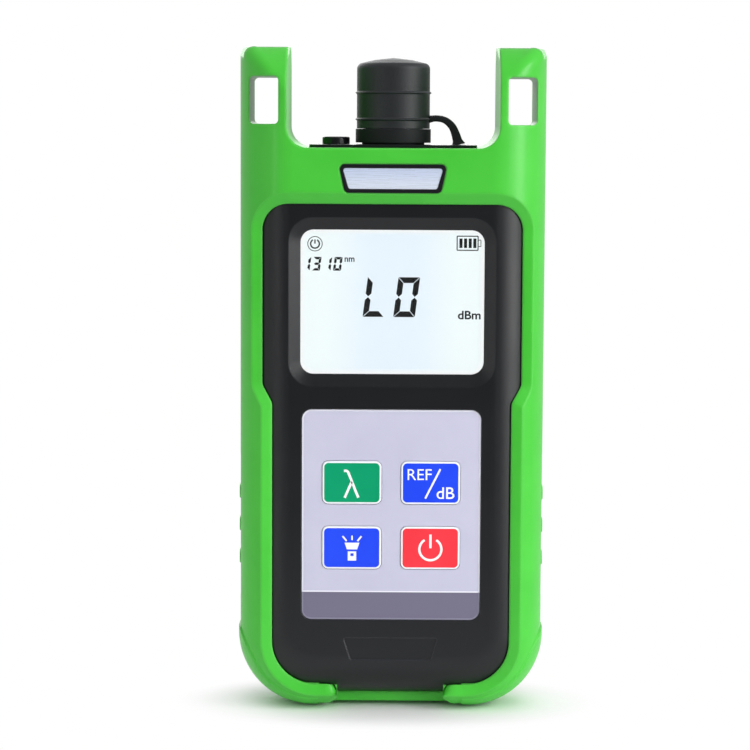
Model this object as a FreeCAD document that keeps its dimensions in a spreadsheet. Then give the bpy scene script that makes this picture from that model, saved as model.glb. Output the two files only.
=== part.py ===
"""Hand-held optical power meter in a stretched-on rubber boot, as a FreeCAD document.

The meter stands upright on the two feet of its boot.  +X is to the right of the person
who reads it, +Y points to its back, +Z is up, and the origin lies on the floor under the
middle of the boot.  All lengths are millimetres.
"""
import FreeCAD, Part
import math
import os
import Sketcher

DIMENSIONS = [
    # two-part plastic case
    ("case_half_width", 38.0), ("case_front", 14.0), ("case_back", 14.0),
    ("case_floor", 3.6), ("case_corner", 17.5), ("case_roll", 12.0),
    ("case_back_roll", 5.5), ("case_wall", 2.0),
    # rubber boot round the case
    ("boot_wall", 2.5), ("boot_seat_gap", 0.05), ("boot_floor", 0.25),
    ("horn_rise", 30.0), ("horn_top_drop", 4.2), ("horn_front", 8.0),
    ("horn_width", 12.75), ("horn_foot_rise", 10.9), ("horn_blend", 8.0),
    ("horn_corner", 1.3), ("notch_corner", 5.5), ("scoop_rise", 1.347),
    ("eyelet_inner_wall", 2.15), ("eyelet_outer_wall", 2.8), ("eyelet_drop", 9.0),
    ("eyelet_height", 12.4), ("eyelet_corner", 1.2),
    ("brow_height", 12.1), ("opening_inset", 3.8), ("opening_corner", 7.0),
    ("waist_inset", 6.45), ("waist_rise", 0.2), ("waist_drop", 4.6),
    ("waist_round", 3.0), ("lobe_rise", 3.6), ("lobe_corner", 12.0),
    ("lobe_reach", 6.3), ("lobe_nose", 3.0), ("lobe_chamfer_high", 3.5),
    ("opening_depth", 6.0), ("toe_depth", 12.0), ("lip_width", 2.9), ("lip_rise", 0.5), ("lip_spill", 0.7),
    ("arch_high", 1.2),
    ("bumper_side", 0.45), ("bumper_depth", 22.0), ("bumper_high", 21.5),
    ("bumper_reach", 1.3), ("bumper_root", 6.0), ("bumper_lean", 4.2),
    ("bumper_floor", 0.0), ("bumper_round", 9.0),
    ("grip_low", 29.7), ("grip_margin", 9.5), ("grip_depth", 0.35),
    ("grip_front", 4.0), ("grip_back", 9.0), ("grip_corner", 1.5),
    ("rib_count", 3), ("rib_pitch", 8.85), ("rib_height", 3.7), ("rib_proud", 0.2),
    ("rib_start", 8.6), ("rib_margin", 0.8),
    # badge on the boot's brow, left bare
    ("badge_drop", 1.7), ("badge_height", 7.4), ("badge_top_half", 14.1),
    ("badge_taper", 1.6), ("badge_corner", 1.3), ("badge_rim", 0.95),
    ("badge_depth", 1.4), ("badge_proud", 0.15), ("badge_plate_thick", 0.8),
    ("badge_gap", 0.06),
    # display window and module
    ("screen_head", 3.5), ("screen_height", 44.6), ("screen_half_width", 27.45),
    ("screen_corner", 6.7), ("screen_bevel", 3.3), ("screen_bevel_depth", 1.6),
    ("screen_lip", 0.4), ("lens_thick", 1.2), ("lens_ledge", 1.5), ("lens_gap", 0.1),
    ("screen_frame_depth", 2.5), ("screen_frame_wall", 1.8), ("frame_corner", 2.0),
    ("layer_gap", 0.05), ("glass_thick", 2.0), ("strip_height", 2.0),
    ("backlight_gap", 0.5),
    # key panel
    ("panel_rise", 4.85), ("panel_foot", 19.4), ("panel_head", 19.5),
    ("panel_margin", 5.5), ("panel_to_screen", 5.9), ("panel_corner", 2.7),
    ("panel_recess", 0.8), ("panel_thick", 0.5), ("panel_gap", 0.1),
    ("key_width", 15.6), ("key_height", 11.4), ("key_corner", 1.6),
    ("key_spacing", 5.2), ("key_row_pitch", 17.4), ("key_gap", 0.15),
    ("key_proud", 0.25), ("key_round", 0.2), ("key_flange", 1.0),
    ("key_flange_thick", 0.8), ("key_travel", 0.4), ("key_stem", 2.5),
    ("key_stem_length", 0.4), ("press_gap", 0.1), ("switch_width", 6.0),
    ("switch_tip", 0.35), ("switch_stem", 1.7),
    # name plate recess at the chin, left bare
    ("chin_rise", 10.9), ("chin_height", 5.95), ("chin_top_half", 12.6),
    ("chin_taper", 1.9), ("chin_depth", 0.3), ("chin_corner", 0.5),
    # circuit board and what it carries
    ("board_side_gap", 2.0), ("board_head_gap", 8.7), ("board_foot", 2.4),
    ("board_corner", 3.0), ("board_thick", 1.6), ("tub_gap", 0.7),
    ("post_inset", 10.0), ("post_drop", 2.7), ("post_outer", 1.8), ("post_root", 1.4),
    ("pilot_floor", 0.8), ("pilot_spare", 1.0), ("board_screw", 0.9),
    ("board_screw_head", 1.7), ("head_gap", 0.5), ("screw_slack", 0.04),
    ("board_hole_gap", 0.12), ("processor_side", 12.0), ("chip_thick", 1.5),
    ("amplifier_width", 5.0), ("amplifier_height", 6.2), ("crystal_width", 11.0),
    ("crystal_height", 4.5), ("crystal_rise", 8.5), ("processor_rise", 11.5),
    ("amplifier_rise", 20.0),
    # case screws
    ("boss_inset", 10.0), ("boss_rise", 17.4), ("boss_drop", 5.4),
    ("boss_outer", 2.8), ("boss_end", 3.6), ("boss_spare", 0.5),
    ("screw_shank", 1.25), ("screw_head", 2.3), ("screw_head_thick", 1.8),
    ("screw_sink", 3.0),
    # battery bay and door
    ("bay_rise", 26.4), ("bay_side_gap", 0.8), ("bay_end_room", 4.4),
    ("bay_wall", 1.2), ("bay_corner", 0.5), ("tub_corner", 1.0),
    ("ledge_width", 4.4), ("ledge_thick", 1.6), ("ledge_corner", 2.0),
    ("door_margin", 3.0), ("door_gap", 0.25), ("door_thick", 1.95),
    ("door_corner", 2.5), ("door_foot_corner", 1.0), ("seat_foot_corner", 0.5),
    ("door_pin", 0.55), ("door_pin_length", 1.0), ("pin_slack", 0.05),
    ("latch_half_width", 5.0), ("latch_thick", 1.4), ("latch_gap", 0.3),
    ("thumb_half_width", 7.0), ("thumb_height", 7.0), ("thumb_depth", 0.9),
    ("thumb_inset", 3.0), ("thumb_corner", 2.5), ("back_window_margin", 1.2),
    ("back_window_corner", 4.0),
    ("cell_outer", 7.1), ("cell_length", 49.2), ("cell_spacing", 0.6),
    ("cell_button", 2.7), ("cell_button_length", 1.3), ("cell_count", 3),
    ("cell_floor_gap", 0.3), ("cell_lid_gap", 0.45), ("contact_thick", 0.4),
    ("contact_width", 11.0), ("contact_depth", 9.0), ("contact_hem", 0.8),
    ("contact_gap", 0.1),
    # connector end
    ("plate_rise", 3.3), ("plate_side_margin", 3.25), ("plate_face_margin", 0.6),
    ("plate_corner", 3.0), ("plate_gap", 0.1), ("port_bore", 5.0), ("port_wall", 3.3),
    ("port_gap", 0.1), ("port_depth", 6.2), ("port_nut_width", 2.5),
    ("port_nut_thick", 2.4), ("collar_width", 1.7), ("collar_gap", 0.5),
    ("collar_thick", 3.6), ("adapter_flange_inset", 2.0),
    ("adapter_flange_thick", 1.5), ("adapter_barrel", 4.2), ("adapter_foot_gap", 0.4),
    ("adapter_lip", 1.0), ("adapter_mouth_gap", 0.14), ("ferrule_bore", 1.26),
    ("sleeve_wall", 0.35), ("sleeve_gap", 0.03), ("sleeve_rise", 2.6),
    ("sleeve_length", 14.5), ("detector_gap", 0.4), ("detector_rise", 1.3),
    ("detector_height", 6.0), ("detector_wall", 0.5), ("detector_floor", 1.0),
    ("detector_hole", 2.4), ("detector_glass", 0.4), ("diode_side", 3.0),
    ("diode_thick", 0.5),
    ("cap_inset", 0.3), ("cap_lift_gap", 0.1), ("cap_grip_gap", 0.4),
    ("cap_flange_gap", 0.6), ("cap_barrel_gap", 2.4), ("cap_headroom", 2.1),
    ("cap_roof", 1.0), ("cap_edge_round", 1.6), ("cap_crown_inset", 4.7),
    ("cap_crown_rise", 2.7), ("cap_crown_round", 8.0), ("cap_tip_rise", 0.55), ("cap_ridge", 0.45),
    ("cap_ridge_half", 0.4), ("cap_ridge_rise", 2.55), ("cap_ridge_pitch", 7.0),
    ("tether_width", 4.0), ("tether_thick", 2.4), ("tether_gap", 0.05),
    ("tether_drop", 0.3), ("tether_reach", 7.5), ("tether_foot_width", 3.9),
    ("tether_foot_high", 3.2), ("tether_collar", 0.8), ("tether_neck", 2.28),
    ("tether_neck_shift", 0.3), ("tether_lean", 1.56), ("tether_bend", 3.0),
    ("tether_crook", 1.2), ("tether_neck_round", 1.0),
    ("jack_to_nut", 0.8), ("jack_neck", 2.9), ("jack_neck_rise", 0.6),
    ("jack_nut_wall", 0.75), ("jack_nut_rise", 2.0), ("jack_nut_round", 0.4),
    ("jack_bore", 1.8), ("jack_bore_depth", 9.5), ("jack_pin", 0.65),
    ("jack_pin_sink", 1.0), ("jack_body", 7.2), ("jack_body_length", 11.0),
    ("jack_gap", 0.08),
]

# Sizes that follow from others, in the order in which they are worked out.
WORKED_OUT = [
    # along the foot of the boot: where the corner lobes and the gap between the toes end
    ("lobe_end", "case_half_width - case_corner - lobe_reach"),
    ("bumper_end", "case_half_width - case_corner - bumper_reach"),
    # up the front of the case: chin, key panel, display, brow
    ("chin_low", "case_floor + chin_rise"),
    ("chin_high", "chin_low + chin_height"),
    ("chin_foot_half", "chin_top_half - chin_taper"),
    ("panel_low", "chin_high + panel_rise"),
    ("key_row_low", "panel_low + panel_foot"),
    ("key_row_high", "key_row_low + key_row_pitch"),
    ("panel_high", "key_row_high + panel_head"),
    ("key_side", "(key_width + key_spacing) / 2"),
    ("panel_half_width", "key_side + key_width / 2 + panel_margin"),
    ("screen_low", "panel_high + panel_to_screen"),
    ("screen_high", "screen_low + screen_height"),
    ("opening_high", "screen_high + screen_head"),
    ("case_top", "opening_high + brow_height"),
    # boot
    ("boot_half_width", "case_half_width + boot_wall"),
    ("opening_half_width", "case_half_width - opening_inset"),
    ("waist_half_width", "case_half_width - waist_inset"),
    ("waist_high", "screen_low + waist_rise"),
    ("waist_low", "waist_high - waist_drop"),
    ("lobe_top", "case_floor + lobe_rise"),
    ("sill_high", "case_top + boot_wall"),
    ("horn_top", "case_top + horn_rise"),
    ("horn_foot", "case_top + horn_foot_rise"),
    ("horn_inner", "boot_half_width - horn_width"),
    ("eyelet_inner", "horn_inner + eyelet_inner_wall"),
    ("eyelet_outer", "boot_half_width - eyelet_outer_wall"),
    ("eyelet_high", "horn_top - eyelet_drop"),
    ("eyelet_low", "eyelet_high - eyelet_height"),
    ("rib_first", "grip_low + rib_start"),
    ("rib_run", "rib_pitch * (rib_count - 1)"),
    ("grip_high", "rib_first + rib_run + rib_height + grip_margin"),
    ("badge_high", "case_top - badge_drop"),
    ("badge_low", "badge_high - badge_height"),
    ("badge_foot_half", "badge_top_half - badge_taper"),
    # battery bay, sized by the cells
    ("cell_pitch", "cell_outer * 2 + cell_spacing"),
    ("bay_half_width", "cell_pitch * (cell_count - 1) / 2 + cell_outer + bay_side_gap"),
    ("bay_low", "case_floor + bay_rise"),
    ("bay_high", "bay_low + cell_length + bay_end_room * 2"),
    ("door_inner", "case_back - door_thick"),
    ("cell_middle", "door_inner - cell_lid_gap - cell_outer"),
    ("bay_floor", "cell_middle - cell_outer - cell_floor_gap"),
    # board, clear of the bay
    ("tub_front", "bay_floor - bay_wall"),
    ("board_back", "tub_front - tub_gap"),
    ("board_front", "board_back - board_thick"),
    ("board_half_width", "case_half_width - case_wall - board_side_gap"),
    ("board_high", "case_top - board_head_gap"),
    ("post_high", "board_high - post_drop"),
    ("post_low", "bay_low - bay_wall - head_gap - board_screw_head"),
    ("board_low", "post_low - board_foot"),
    ("post_side", "case_half_width - post_inset"),
    ("crystal_z", "bay_high + crystal_rise"),
    ("processor_z", "crystal_z + processor_rise"),
    ("amplifier_z", "processor_z + amplifier_rise"),
    ("boss_side", "case_half_width - boss_inset"),
    ("boss_low", "case_floor + boss_rise"),
    ("boss_high", "case_top - boss_drop"),
    # connector end, from the bore outwards and from the case's top upwards
    ("port_neck", "port_bore + port_wall"),
    ("port_collar", "port_neck + collar_width"),
    ("port_nut", "port_neck + port_nut_width"),
    ("port_low", "case_top - port_depth"),
    ("plate_top", "case_top + plate_rise"),
    ("plate_half_depth", "port_collar + plate_face_margin"),
    ("collar_low", "plate_top + collar_gap"),
    ("collar_high", "collar_low + collar_thick"),
    ("detector_outer", "port_bore - detector_gap"),
    ("detector_high", "case_top + detector_rise"),
    ("detector_low", "detector_high - detector_height"),
    ("sleeve_outer", "ferrule_bore + sleeve_wall"),
    ("adapter_flange", "port_collar - adapter_flange_inset"),
    ("adapter_mouth", "ferrule_bore + adapter_mouth_gap"),
    ("adapter_low", "detector_high + adapter_foot_gap"),
    ("sleeve_low", "adapter_low + sleeve_rise"),
    ("sleeve_high", "sleeve_low + sleeve_length"),
    ("adapter_high", "sleeve_high + adapter_lip"),
    ("cap_outer", "port_collar - cap_inset"),
    ("cap_low", "collar_high + cap_lift_gap"),
    ("cap_skirt_inner", "adapter_flange + cap_grip_gap"),
    ("cap_skirt_high", "collar_high + adapter_flange_thick + cap_flange_gap"),
    ("cap_inner", "adapter_barrel + cap_barrel_gap"),
    ("cap_inner_high", "adapter_high + cap_headroom"),
    ("cap_shoulder", "cap_inner_high + cap_roof"),
    ("cap_crown", "cap_outer - cap_crown_inset"),
    ("cap_crown_high", "cap_shoulder + cap_crown_rise"),
    ("cap_high", "cap_crown_high + cap_tip_rise"),
    ("cap_ridge_low", "collar_high + cap_ridge_rise"),
    ("cap_ridge_high", "cap_ridge_low + cap_ridge_pitch"),
    ("tether_start_high", "cap_ridge_low - tether_drop"),
    ("tether_foot_x", "cap_outer + tether_reach"),
    ("jack_x", "-(port_nut + jack_to_nut + jack_body / 2)"),
    ("jack_nut_outer", "jack_neck + jack_nut_wall"),
    ("jack_nut_high", "plate_top + jack_nut_rise"),
    ("jack_pin_length", "jack_bore_depth - jack_pin_sink"),
    ("plate_half_width", "jack_nut_outer + plate_side_margin - jack_x"),
]

doc = FreeCAD.newDocument("power_meter")
sheet = doc.addObject("Spreadsheet::Sheet", "dims")


class Size:
    """A length that carries both its value and the sheet formula that gives it."""

    def __init__(self, value, text):
        self.value = value
        self.text = text

    def _join(self, other, sign, result):
        other_text = other.text if isinstance(other, Size) else repr(other)
        return Size(result, "(%s %s %s)" % (self.text, sign, other_text))

    def __add__(self, other):
        return self._join(other, "+", self.value + number(other))

    def __sub__(self, other):
        return self._join(other, "-", self.value - number(other))

    def __mul__(self, other):
        return self._join(other, "*", self.value * number(other))

    def __truediv__(self, other):
        return self._join(other, "/", self.value / number(other))

    def __neg__(self):
        return Size(-self.value, "(0 - %s)" % self.text)


def number(size):
    """Return the plain value of a Size or of a number."""
    return size.value if isinstance(size, Size) else size


def formula(size):
    """Return the sheet formula of a Size, or a number as text."""
    return size.text if isinstance(size, Size) else repr(size)


class Dims:
    """The sheet's aliases, each as a Size."""


ALIASES = [(alias, str(value)) for alias, value in DIMENSIONS]
ALIASES += [(alias, "=" + text) for alias, text in WORKED_OUT]
for row, (alias, content) in enumerate(ALIASES, start=1):
    sheet.set("A%d" % row, alias)
    sheet.set("B%d" % row, content)
    sheet.setAlias("B%d" % row, alias)
doc.recompute()
d = Dims()
for alias, _ in ALIASES:
    setattr(d, alias, Size(float(sheet.get(alias)), "dims." + alias))
CELL_COUNT = int(d.cell_count.value)
RIB_COUNT = int(d.rib_count.value)

OVERCUT = 5.0       # how far a cutting outline runs past what it cuts
WELD = 0.5          # how far a post or a rib runs into the wall that carries it
JOIN = 0.1          # how far round bars run into each other where they are one piece
NEAR = 1e-4         # places closer than this are the same place
LIP_STEPS = 6       # sections along each bend of the opening's lip
SIDES = (("left", -1), ("right", 1))
NODES = []


def node(item, name):
    """Label an object as a sub-part that gets its own file."""
    item.Label = name
    NODES.append(item)
    return item


# ---------------------------------------------------------------- sketch helpers
def origin_plane(body, role):
    """Return a body's own origin plane by its role."""
    return next(item for item in body.Origin.OriginFeatures if item.Role == role)


def new_sketch(body, name, role, offset=0):
    """Attach a sketch to one of a body's origin planes, moved along its normal."""
    sketch = body.newObject("Sketcher::SketchObject", name)
    sketch.AttachmentSupport = [(origin_plane(body, role), "")]
    sketch.MapMode = "FlatFace"
    sketch.AttachmentOffset = FreeCAD.Placement(
        FreeCAD.Vector(0, 0, number(offset)), FreeCAD.Rotation())
    if isinstance(offset, Size):
        sketch.setExpression("AttachmentOffset.Base.z", offset.text)
    return sketch


def bind(sketch, kind, *parts):
    """Add a constraint whose last part is a Size or a number, and bind a Size."""
    size = parts[-1]
    index = sketch.addConstraint(Sketcher.Constraint(kind, *parts[:-1], number(size)))
    if isinstance(size, Size):
        sketch.setExpression("Constraints[%d]" % index, size.text)
    return index


def place_point(sketch, geometry, point, x, y):
    """Hold a point of a sketch at x, y from its origin."""
    bind(sketch, "DistanceX", -1, 1, geometry, point, x)
    bind(sketch, "DistanceY", -1, 1, geometry, point, y)


def corner_arcs(corners):
    """Where each corner's rounding begins, its centre (None if sharp), where it ends."""
    points = [FreeCAD.Vector(number(c[0]), number(c[1]), 0) for c in corners]
    arcs = []
    for i, corner in enumerate(corners):
        radius = number(corner[2]) if len(corner) > 2 else 0
        if not radius:
            arcs.append((points[i], None, points[i]))
            continue
        before = (points[i - 1] - points[i]).normalize()
        after = (points[(i + 1) % len(corners)] - points[i]).normalize()
        half = before.getAngle(after) / 2
        reach = radius / math.tan(half)
        centre = points[i] + (before + after).normalize() * (radius / math.sin(half))
        arcs.append((points[i] + before * reach, centre, points[i] + after * reach))
    return arcs


def arc_angles(begin, centre, end):
    """The angles at which an arc begins and ends, and whether it turns left."""
    first = math.atan2(begin.y - centre.y, begin.x - centre.x)
    last = math.atan2(end.y - centre.y, end.x - centre.x)
    return first, last, (begin - centre).cross(end - centre).z > 0


def outline(sketch, corners):
    """Draw a closed outline through (x, y, radius) corners, rounded by tangent arcs."""
    arcs = corner_arcs(corners)
    lines = []
    for i, (_, _, end) in enumerate(arcs):
        begin = arcs[(i + 1) % len(arcs)][0]
        lines.append(sketch.addGeometry(Part.LineSegment(end, begin), False))
    for i, (begin, centre, end) in enumerate(arcs):
        x, y = corners[i][:2]
        line_in, line_out = lines[i - 1], lines[i]
        if centre is None:
            sketch.addConstraint(Sketcher.Constraint("Coincident", line_in, 2, line_out, 1))
            place_point(sketch, line_out, 1, x, y)
            continue
        first, last, turns_left = arc_angles(begin, centre, end)
        if not turns_left:
            first, last = last, first
        ring = Part.Circle(centre, FreeCAD.Vector(0, 0, 1), number(corners[i][2]))
        arc = sketch.addGeometry(Part.ArcOfCircle(ring, first, last), False)
        near, far = (1, 2) if turns_left else (2, 1)
        sketch.addConstraint(Sketcher.Constraint("Tangent", line_in, 2, arc, near))
        sketch.addConstraint(Sketcher.Constraint("Tangent", arc, far, line_out, 1))
        bind(sketch, "Radius", arc, corners[i][2])
        tip = sketch.addGeometry(
            Part.Point(FreeCAD.Vector(number(x), number(y), 0)), True)
        sketch.addConstraint(Sketcher.Constraint("PointOnObject", tip, 1, line_in))
        sketch.addConstraint(Sketcher.Constraint("PointOnObject", tip, 1, line_out))
        place_point(sketch, tip, 1, x, y)
    return sketch


def box_corners(x0, y0, x1, y1, radius=0):
    """Return the four corners of a rectangle, each with the same radius."""
    return [(x0, y0, radius), (x1, y0, radius), (x1, y1, radius), (x0, y1, radius)]


def circle(sketch, x, y, radius):
    """Draw a circle of a given radius at x, y."""
    centre = FreeCAD.Vector(number(x), number(y), 0)
    ring = sketch.addGeometry(
        Part.Circle(centre, FreeCAD.Vector(0, 0, 1), number(radius)), False)
    place_point(sketch, ring, 3, x, y)
    bind(sketch, "Radius", ring, radius)
    return sketch


# --------------------------------------------------------------- feature helpers
def new_body(name):
    """Start a PartDesign body."""
    return doc.addObject("PartDesign::Body", name)


def pad(body, sketch, length, reverse=False):
    """Pad a sketch along its normal, or against it."""
    feature = body.newObject("PartDesign::Pad", sketch.Name + "_pad")
    feature.Profile = sketch
    feature.Reversed = reverse
    feature.Length = number(length)
    if isinstance(length, Size):
        feature.setExpression("Length", length.text)
    doc.recompute()
    return feature


def pocket(body, sketch, length, reverse=False):
    """Cut a sketch against its normal, or along it when reversed, and prove the cut."""
    before = body.Shape.Volume
    feature = body.newObject("PartDesign::Pocket", sketch.Name + "_pocket")
    feature.Profile = sketch
    feature.Reversed = reverse
    feature.Length = number(length)
    if isinstance(length, Size):
        feature.setExpression("Length", length.text)
    doc.recompute()
    if not body.Shape.Volume < before - 1e-6:
        raise RuntimeError("nothing was cut by " + feature.Name)
    return feature


def edge_names(shape, wanted):
    """Name the edges of a shape that a test picks."""
    return ["Edge%d" % (i + 1) for i, edge in enumerate(shape.Edges) if wanted(edge)]


def fillet(body, wanted, radius):
    """Round the edges of a body that a test picks."""
    base, names = body.Tip, edge_names(body.Shape, wanted)
    feature = body.newObject("PartDesign::Fillet", body.Name + "_round")
    feature.Base = (base, names)
    feature.Radius = number(radius)
    feature.setExpression("Radius", formula(radius))
    doc.recompute()
    return feature


def lies_at(edge, axis, value):
    """Tell whether an edge lies wholly in the plane axis = value."""
    box = edge.BoundBox
    low, high = getattr(box, axis + "Min"), getattr(box, axis + "Max")
    return abs(low - value) < NEAR and abs(high - value) < NEAR


def rolled_block(name, half_width, floor, top, corner, front, back, roll, back_roll):
    """A block with round lower corners, rolled along its sides and foot, not its top."""
    body = new_body(name)
    profile = outline(new_sketch(body, name + "_outline", "XZ_Plane", -back), [
        (-half_width, floor, corner), (half_width, floor, corner),
        (half_width, top), (-half_width, top)])
    pad(body, profile, front + back)
    for plane, radius in ((-front, roll), (back, back_roll)):
        level, lid = number(plane), number(top)
        fillet(body, lambda edge: lies_at(edge, "Y", level)
               and not lies_at(edge, "Z", lid), radius)
    return body


def front_sketch(body, name, corners, y):
    """Draw an outline that faces the front, at a height y along the depth."""
    return outline(new_sketch(body, name, "XZ_Plane", -y), corners)


def side_sketch(body, name, corners, x=0):
    """Draw an outline in the Y, Z plane at a given x."""
    return outline(new_sketch(body, name, "YZ_Plane", x), corners)


def mirrored(corners):
    """Complete an outline's right half with its left half."""
    return corners + [(-c[0],) + tuple(c[1:]) for c in reversed(corners)]


def revolved(name, profile):
    """Turn a closed (radius, height) outline round the Z axis."""
    body = new_body(name)
    sketch = outline(new_sketch(body, name + "_profile", "XZ_Plane"), profile)
    feature = body.newObject("PartDesign::Revolution", name + "_turn")
    feature.Profile = sketch
    feature.ReferenceAxis = (sketch, ["V_Axis"])
    feature.Angle = 360
    doc.recompute()
    return body


def slab(name, corners, near, far):
    """A plate whose outline faces the front, between two depths near < far."""
    body = new_body(name)
    pad(body, front_sketch(body, name + "_outline", corners, far), far - near)
    return body


def tower(name, corners, low, high):
    """A plate whose outline faces up, between two heights."""
    body = new_body(name)
    pad(body, outline(new_sketch(body, name + "_outline", "XY_Plane", low), corners),
        high - low)
    return body


def rod(name, radius, x, near, far, z):
    """A round bar along Y between two depths."""
    bar = doc.addObject("Part::Cylinder", name)
    bar.setExpression("Radius", formula(radius))
    bar.setExpression("Height", formula(far - near))
    bar.Placement = FreeCAD.Placement(
        FreeCAD.Vector(), FreeCAD.Rotation(FreeCAD.Vector(1, 0, 0), -90))
    for axis, size in (("x", x), ("y", near), ("z", z)):
        bar.setExpression("Placement.Base." + axis, formula(size))
    return bar


def column(name, radius, x, y, low, high):
    """A round bar along Z between two heights."""
    bar = doc.addObject("Part::Cylinder", name)
    bar.setExpression("Radius", formula(radius))
    bar.setExpression("Height", formula(high - low))
    for axis, size in (("x", x), ("y", y), ("z", low)):
        bar.setExpression("Placement.Base." + axis, formula(size))
    return bar


def block(name, x0, x1, y0, y1, z0, z1):
    """A box between its limits."""
    box = doc.addObject("Part::Box", name)
    for key, low, high in (("Length", x0, x1), ("Width", y0, y1), ("Height", z0, z1)):
        box.setExpression(key, formula(high - low))
    for axis, size in (("x", x0), ("y", y0), ("z", z0)):
        box.setExpression("Placement.Base." + axis, formula(size))
    return box


def cut(name, base, tool):
    """Take one object from another."""
    result = doc.addObject("Part::Cut", name)
    result.Base = base
    result.Tool = tool
    doc.recompute()
    return result


def gather(name, items, kind="Part::MultiFuse"):
    """Join objects, or keep solids that do not touch together as one group."""
    result = doc.addObject(kind, name)
    if kind == "Part::Compound":
        result.Links = items
    else:
        result.Shapes = items
    doc.recompute()
    return result


def open_shell(name, depth, roll, faces_front):
    """A case half: a rolled tray with an even wall, open at the split plane y = 0."""
    body = new_body(name)
    profile = front_sketch(body, name + "_outline", [
        (-d.case_half_width, d.case_floor, d.case_corner),
        (d.case_half_width, d.case_floor, d.case_corner),
        (d.case_half_width, d.case_top), (-d.case_half_width, d.case_top)], 0)
    pad(body, profile, depth, reverse=not faces_front)
    level = -depth.value if faces_front else depth.value
    fillet(body, lambda edge: lies_at(edge, "Y", level)
           and not lies_at(edge, "Z", d.case_top.value), roll)
    mouth = [i for i, face in enumerate(body.Shape.Faces) if lies_at(face, "Y", 0)]
    base = body.Tip
    hollow = body.newObject("PartDesign::Thickness", name + "_wall")
    hollow.Base = (base, ["Face%d" % (mouth[0] + 1)])
    hollow.Value = d.case_wall.value
    hollow.setExpression("Value", d.case_wall.text)
    hollow.Reversed = True
    doc.recompute()
    return body


def loft_cut(body, name, sections):
    """Cut the solid that runs straight from one outline to the next."""
    feature = body.newObject("PartDesign::SubtractiveLoft", name)
    feature.Profile = sections[0]
    feature.Sections = sections[1:]
    feature.Ruled = True
    doc.recompute()
    return feature


def top_holes(body, name):
    """Cut the holes of the port and the power jack through the case's top wall."""
    sketch = new_sketch(body, name + "_top_holes", "XY_Plane", d.case_top)
    circle(sketch, 0, 0, d.port_neck + d.port_gap)
    circle(sketch, d.jack_x, 0, d.jack_neck + d.jack_gap)
    pocket(body, sketch, d.case_wall + OVERCUT)


def round_posts(body, name, radius, x, heights, near, far):
    """Pad a pair of round posts, left and right, at each height, between two depths."""
    sketch = new_sketch(body, name, "XZ_Plane", -far)
    for z in heights:
        circle(sketch, x, z, radius)
        circle(sketch, -x, z, radius)
    pad(body, sketch, far - near)


def round_holes(body, name, radius, x, heights, near, far):
    """Cut round holes, left and right, at each height, between two depths."""
    sketch = new_sketch(body, name, "XZ_Plane", -far)
    for z in heights:
        circle(sketch, x, z, radius)
        circle(sketch, -x, z, radius)
    pocket(body, sketch, far - near, reverse=True)


# ------------------------------------------------------------------ front shell
# The wall, then frames, posts and bosses inside it, then its windows and recesses.
front_face = -d.case_front
front_inner = front_face + d.case_wall
lens_face = front_face + d.screen_bevel_depth + d.screen_lip
frame_back = lens_face + d.screen_frame_depth
post_root = front_face + d.post_root
panel_floor = front_face + d.panel_recess
view_half_width = d.screen_half_width - d.screen_bevel
view_low = d.screen_low + d.screen_bevel
view_high = d.screen_high - d.screen_bevel
lens_half_width = view_half_width + d.lens_ledge
lens_low = view_low - d.lens_ledge
lens_high = view_high + d.lens_ledge
boss_heights = (d.boss_low, d.boss_high)
post_heights = (d.post_low, d.post_high)
KEYS = (("key_wavelength", -d.key_side, d.key_row_high),
        ("key_reference", d.key_side, d.key_row_high),
        ("key_backlight", -d.key_side, d.key_row_low),
        ("key_power", d.key_side, d.key_row_low))


def key_outline(x, z, margin):
    """A key's rounded outline, grown by a margin."""
    return box_corners(x - d.key_width / 2 - margin, z - d.key_height / 2 - margin,
                       x + d.key_width / 2 + margin, z + d.key_height / 2 + margin,
                       d.key_corner + margin)


front = open_shell("front_shell", d.case_front, d.case_roll, True)
frame_wall = d.lens_ledge + d.lens_gap + d.screen_frame_wall
pad(front, front_sketch(front, "screen_frame", box_corners(
    -view_half_width - frame_wall, view_low - frame_wall,
    view_half_width + frame_wall, view_high + frame_wall, d.frame_corner), frame_back),
    frame_back - lens_face)
round_posts(front, "case_bosses", d.boss_outer, d.boss_side, boss_heights,
            post_root, -d.layer_gap)
round_posts(front, "board_posts", d.post_outer, d.post_side, post_heights,
            post_root, d.board_front)
loft_cut(front, "screen_bevel", [
    front_sketch(front, "screen_mouth", box_corners(
        -d.screen_half_width, d.screen_low, d.screen_half_width, d.screen_high,
        d.screen_corner), front_face),
    front_sketch(front, "screen_throat", box_corners(
        -view_half_width, view_low, view_half_width, view_high,
        d.screen_corner - d.screen_bevel), front_face + d.screen_bevel_depth)])
pocket(front, front_sketch(front, "screen_view", box_corners(
    -view_half_width, view_low, view_half_width, view_high,
    d.screen_corner - d.screen_bevel), front_face), d.case_front / 2)
pocket(front, front_sketch(front, "lens_seat", box_corners(
    -lens_half_width - d.lens_gap, lens_low - d.lens_gap,
    lens_half_width + d.lens_gap, lens_high + d.lens_gap, d.lens_ledge), lens_face),
    d.screen_frame_depth + OVERCUT)
pocket(front, front_sketch(front, "panel_seat", box_corners(
    -d.panel_half_width, d.panel_low, d.panel_half_width, d.panel_high,
    d.panel_corner), front_face), d.panel_recess)
for name, x, z in KEYS:
    pocket(front, front_sketch(front, name + "_hole", key_outline(x, z, d.key_gap),
                               front_face), d.case_wall + OVERCUT)
pocket(front, front_sketch(front, "chin_recess", [
    (-d.chin_foot_half, d.chin_low, d.chin_corner),
    (d.chin_foot_half, d.chin_low, d.chin_corner),
    (d.chin_top_half, d.chin_high, d.chin_corner),
    (-d.chin_top_half, d.chin_high, d.chin_corner)], front_face), d.chin_depth)
top_holes(front, "front_shell")
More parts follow.
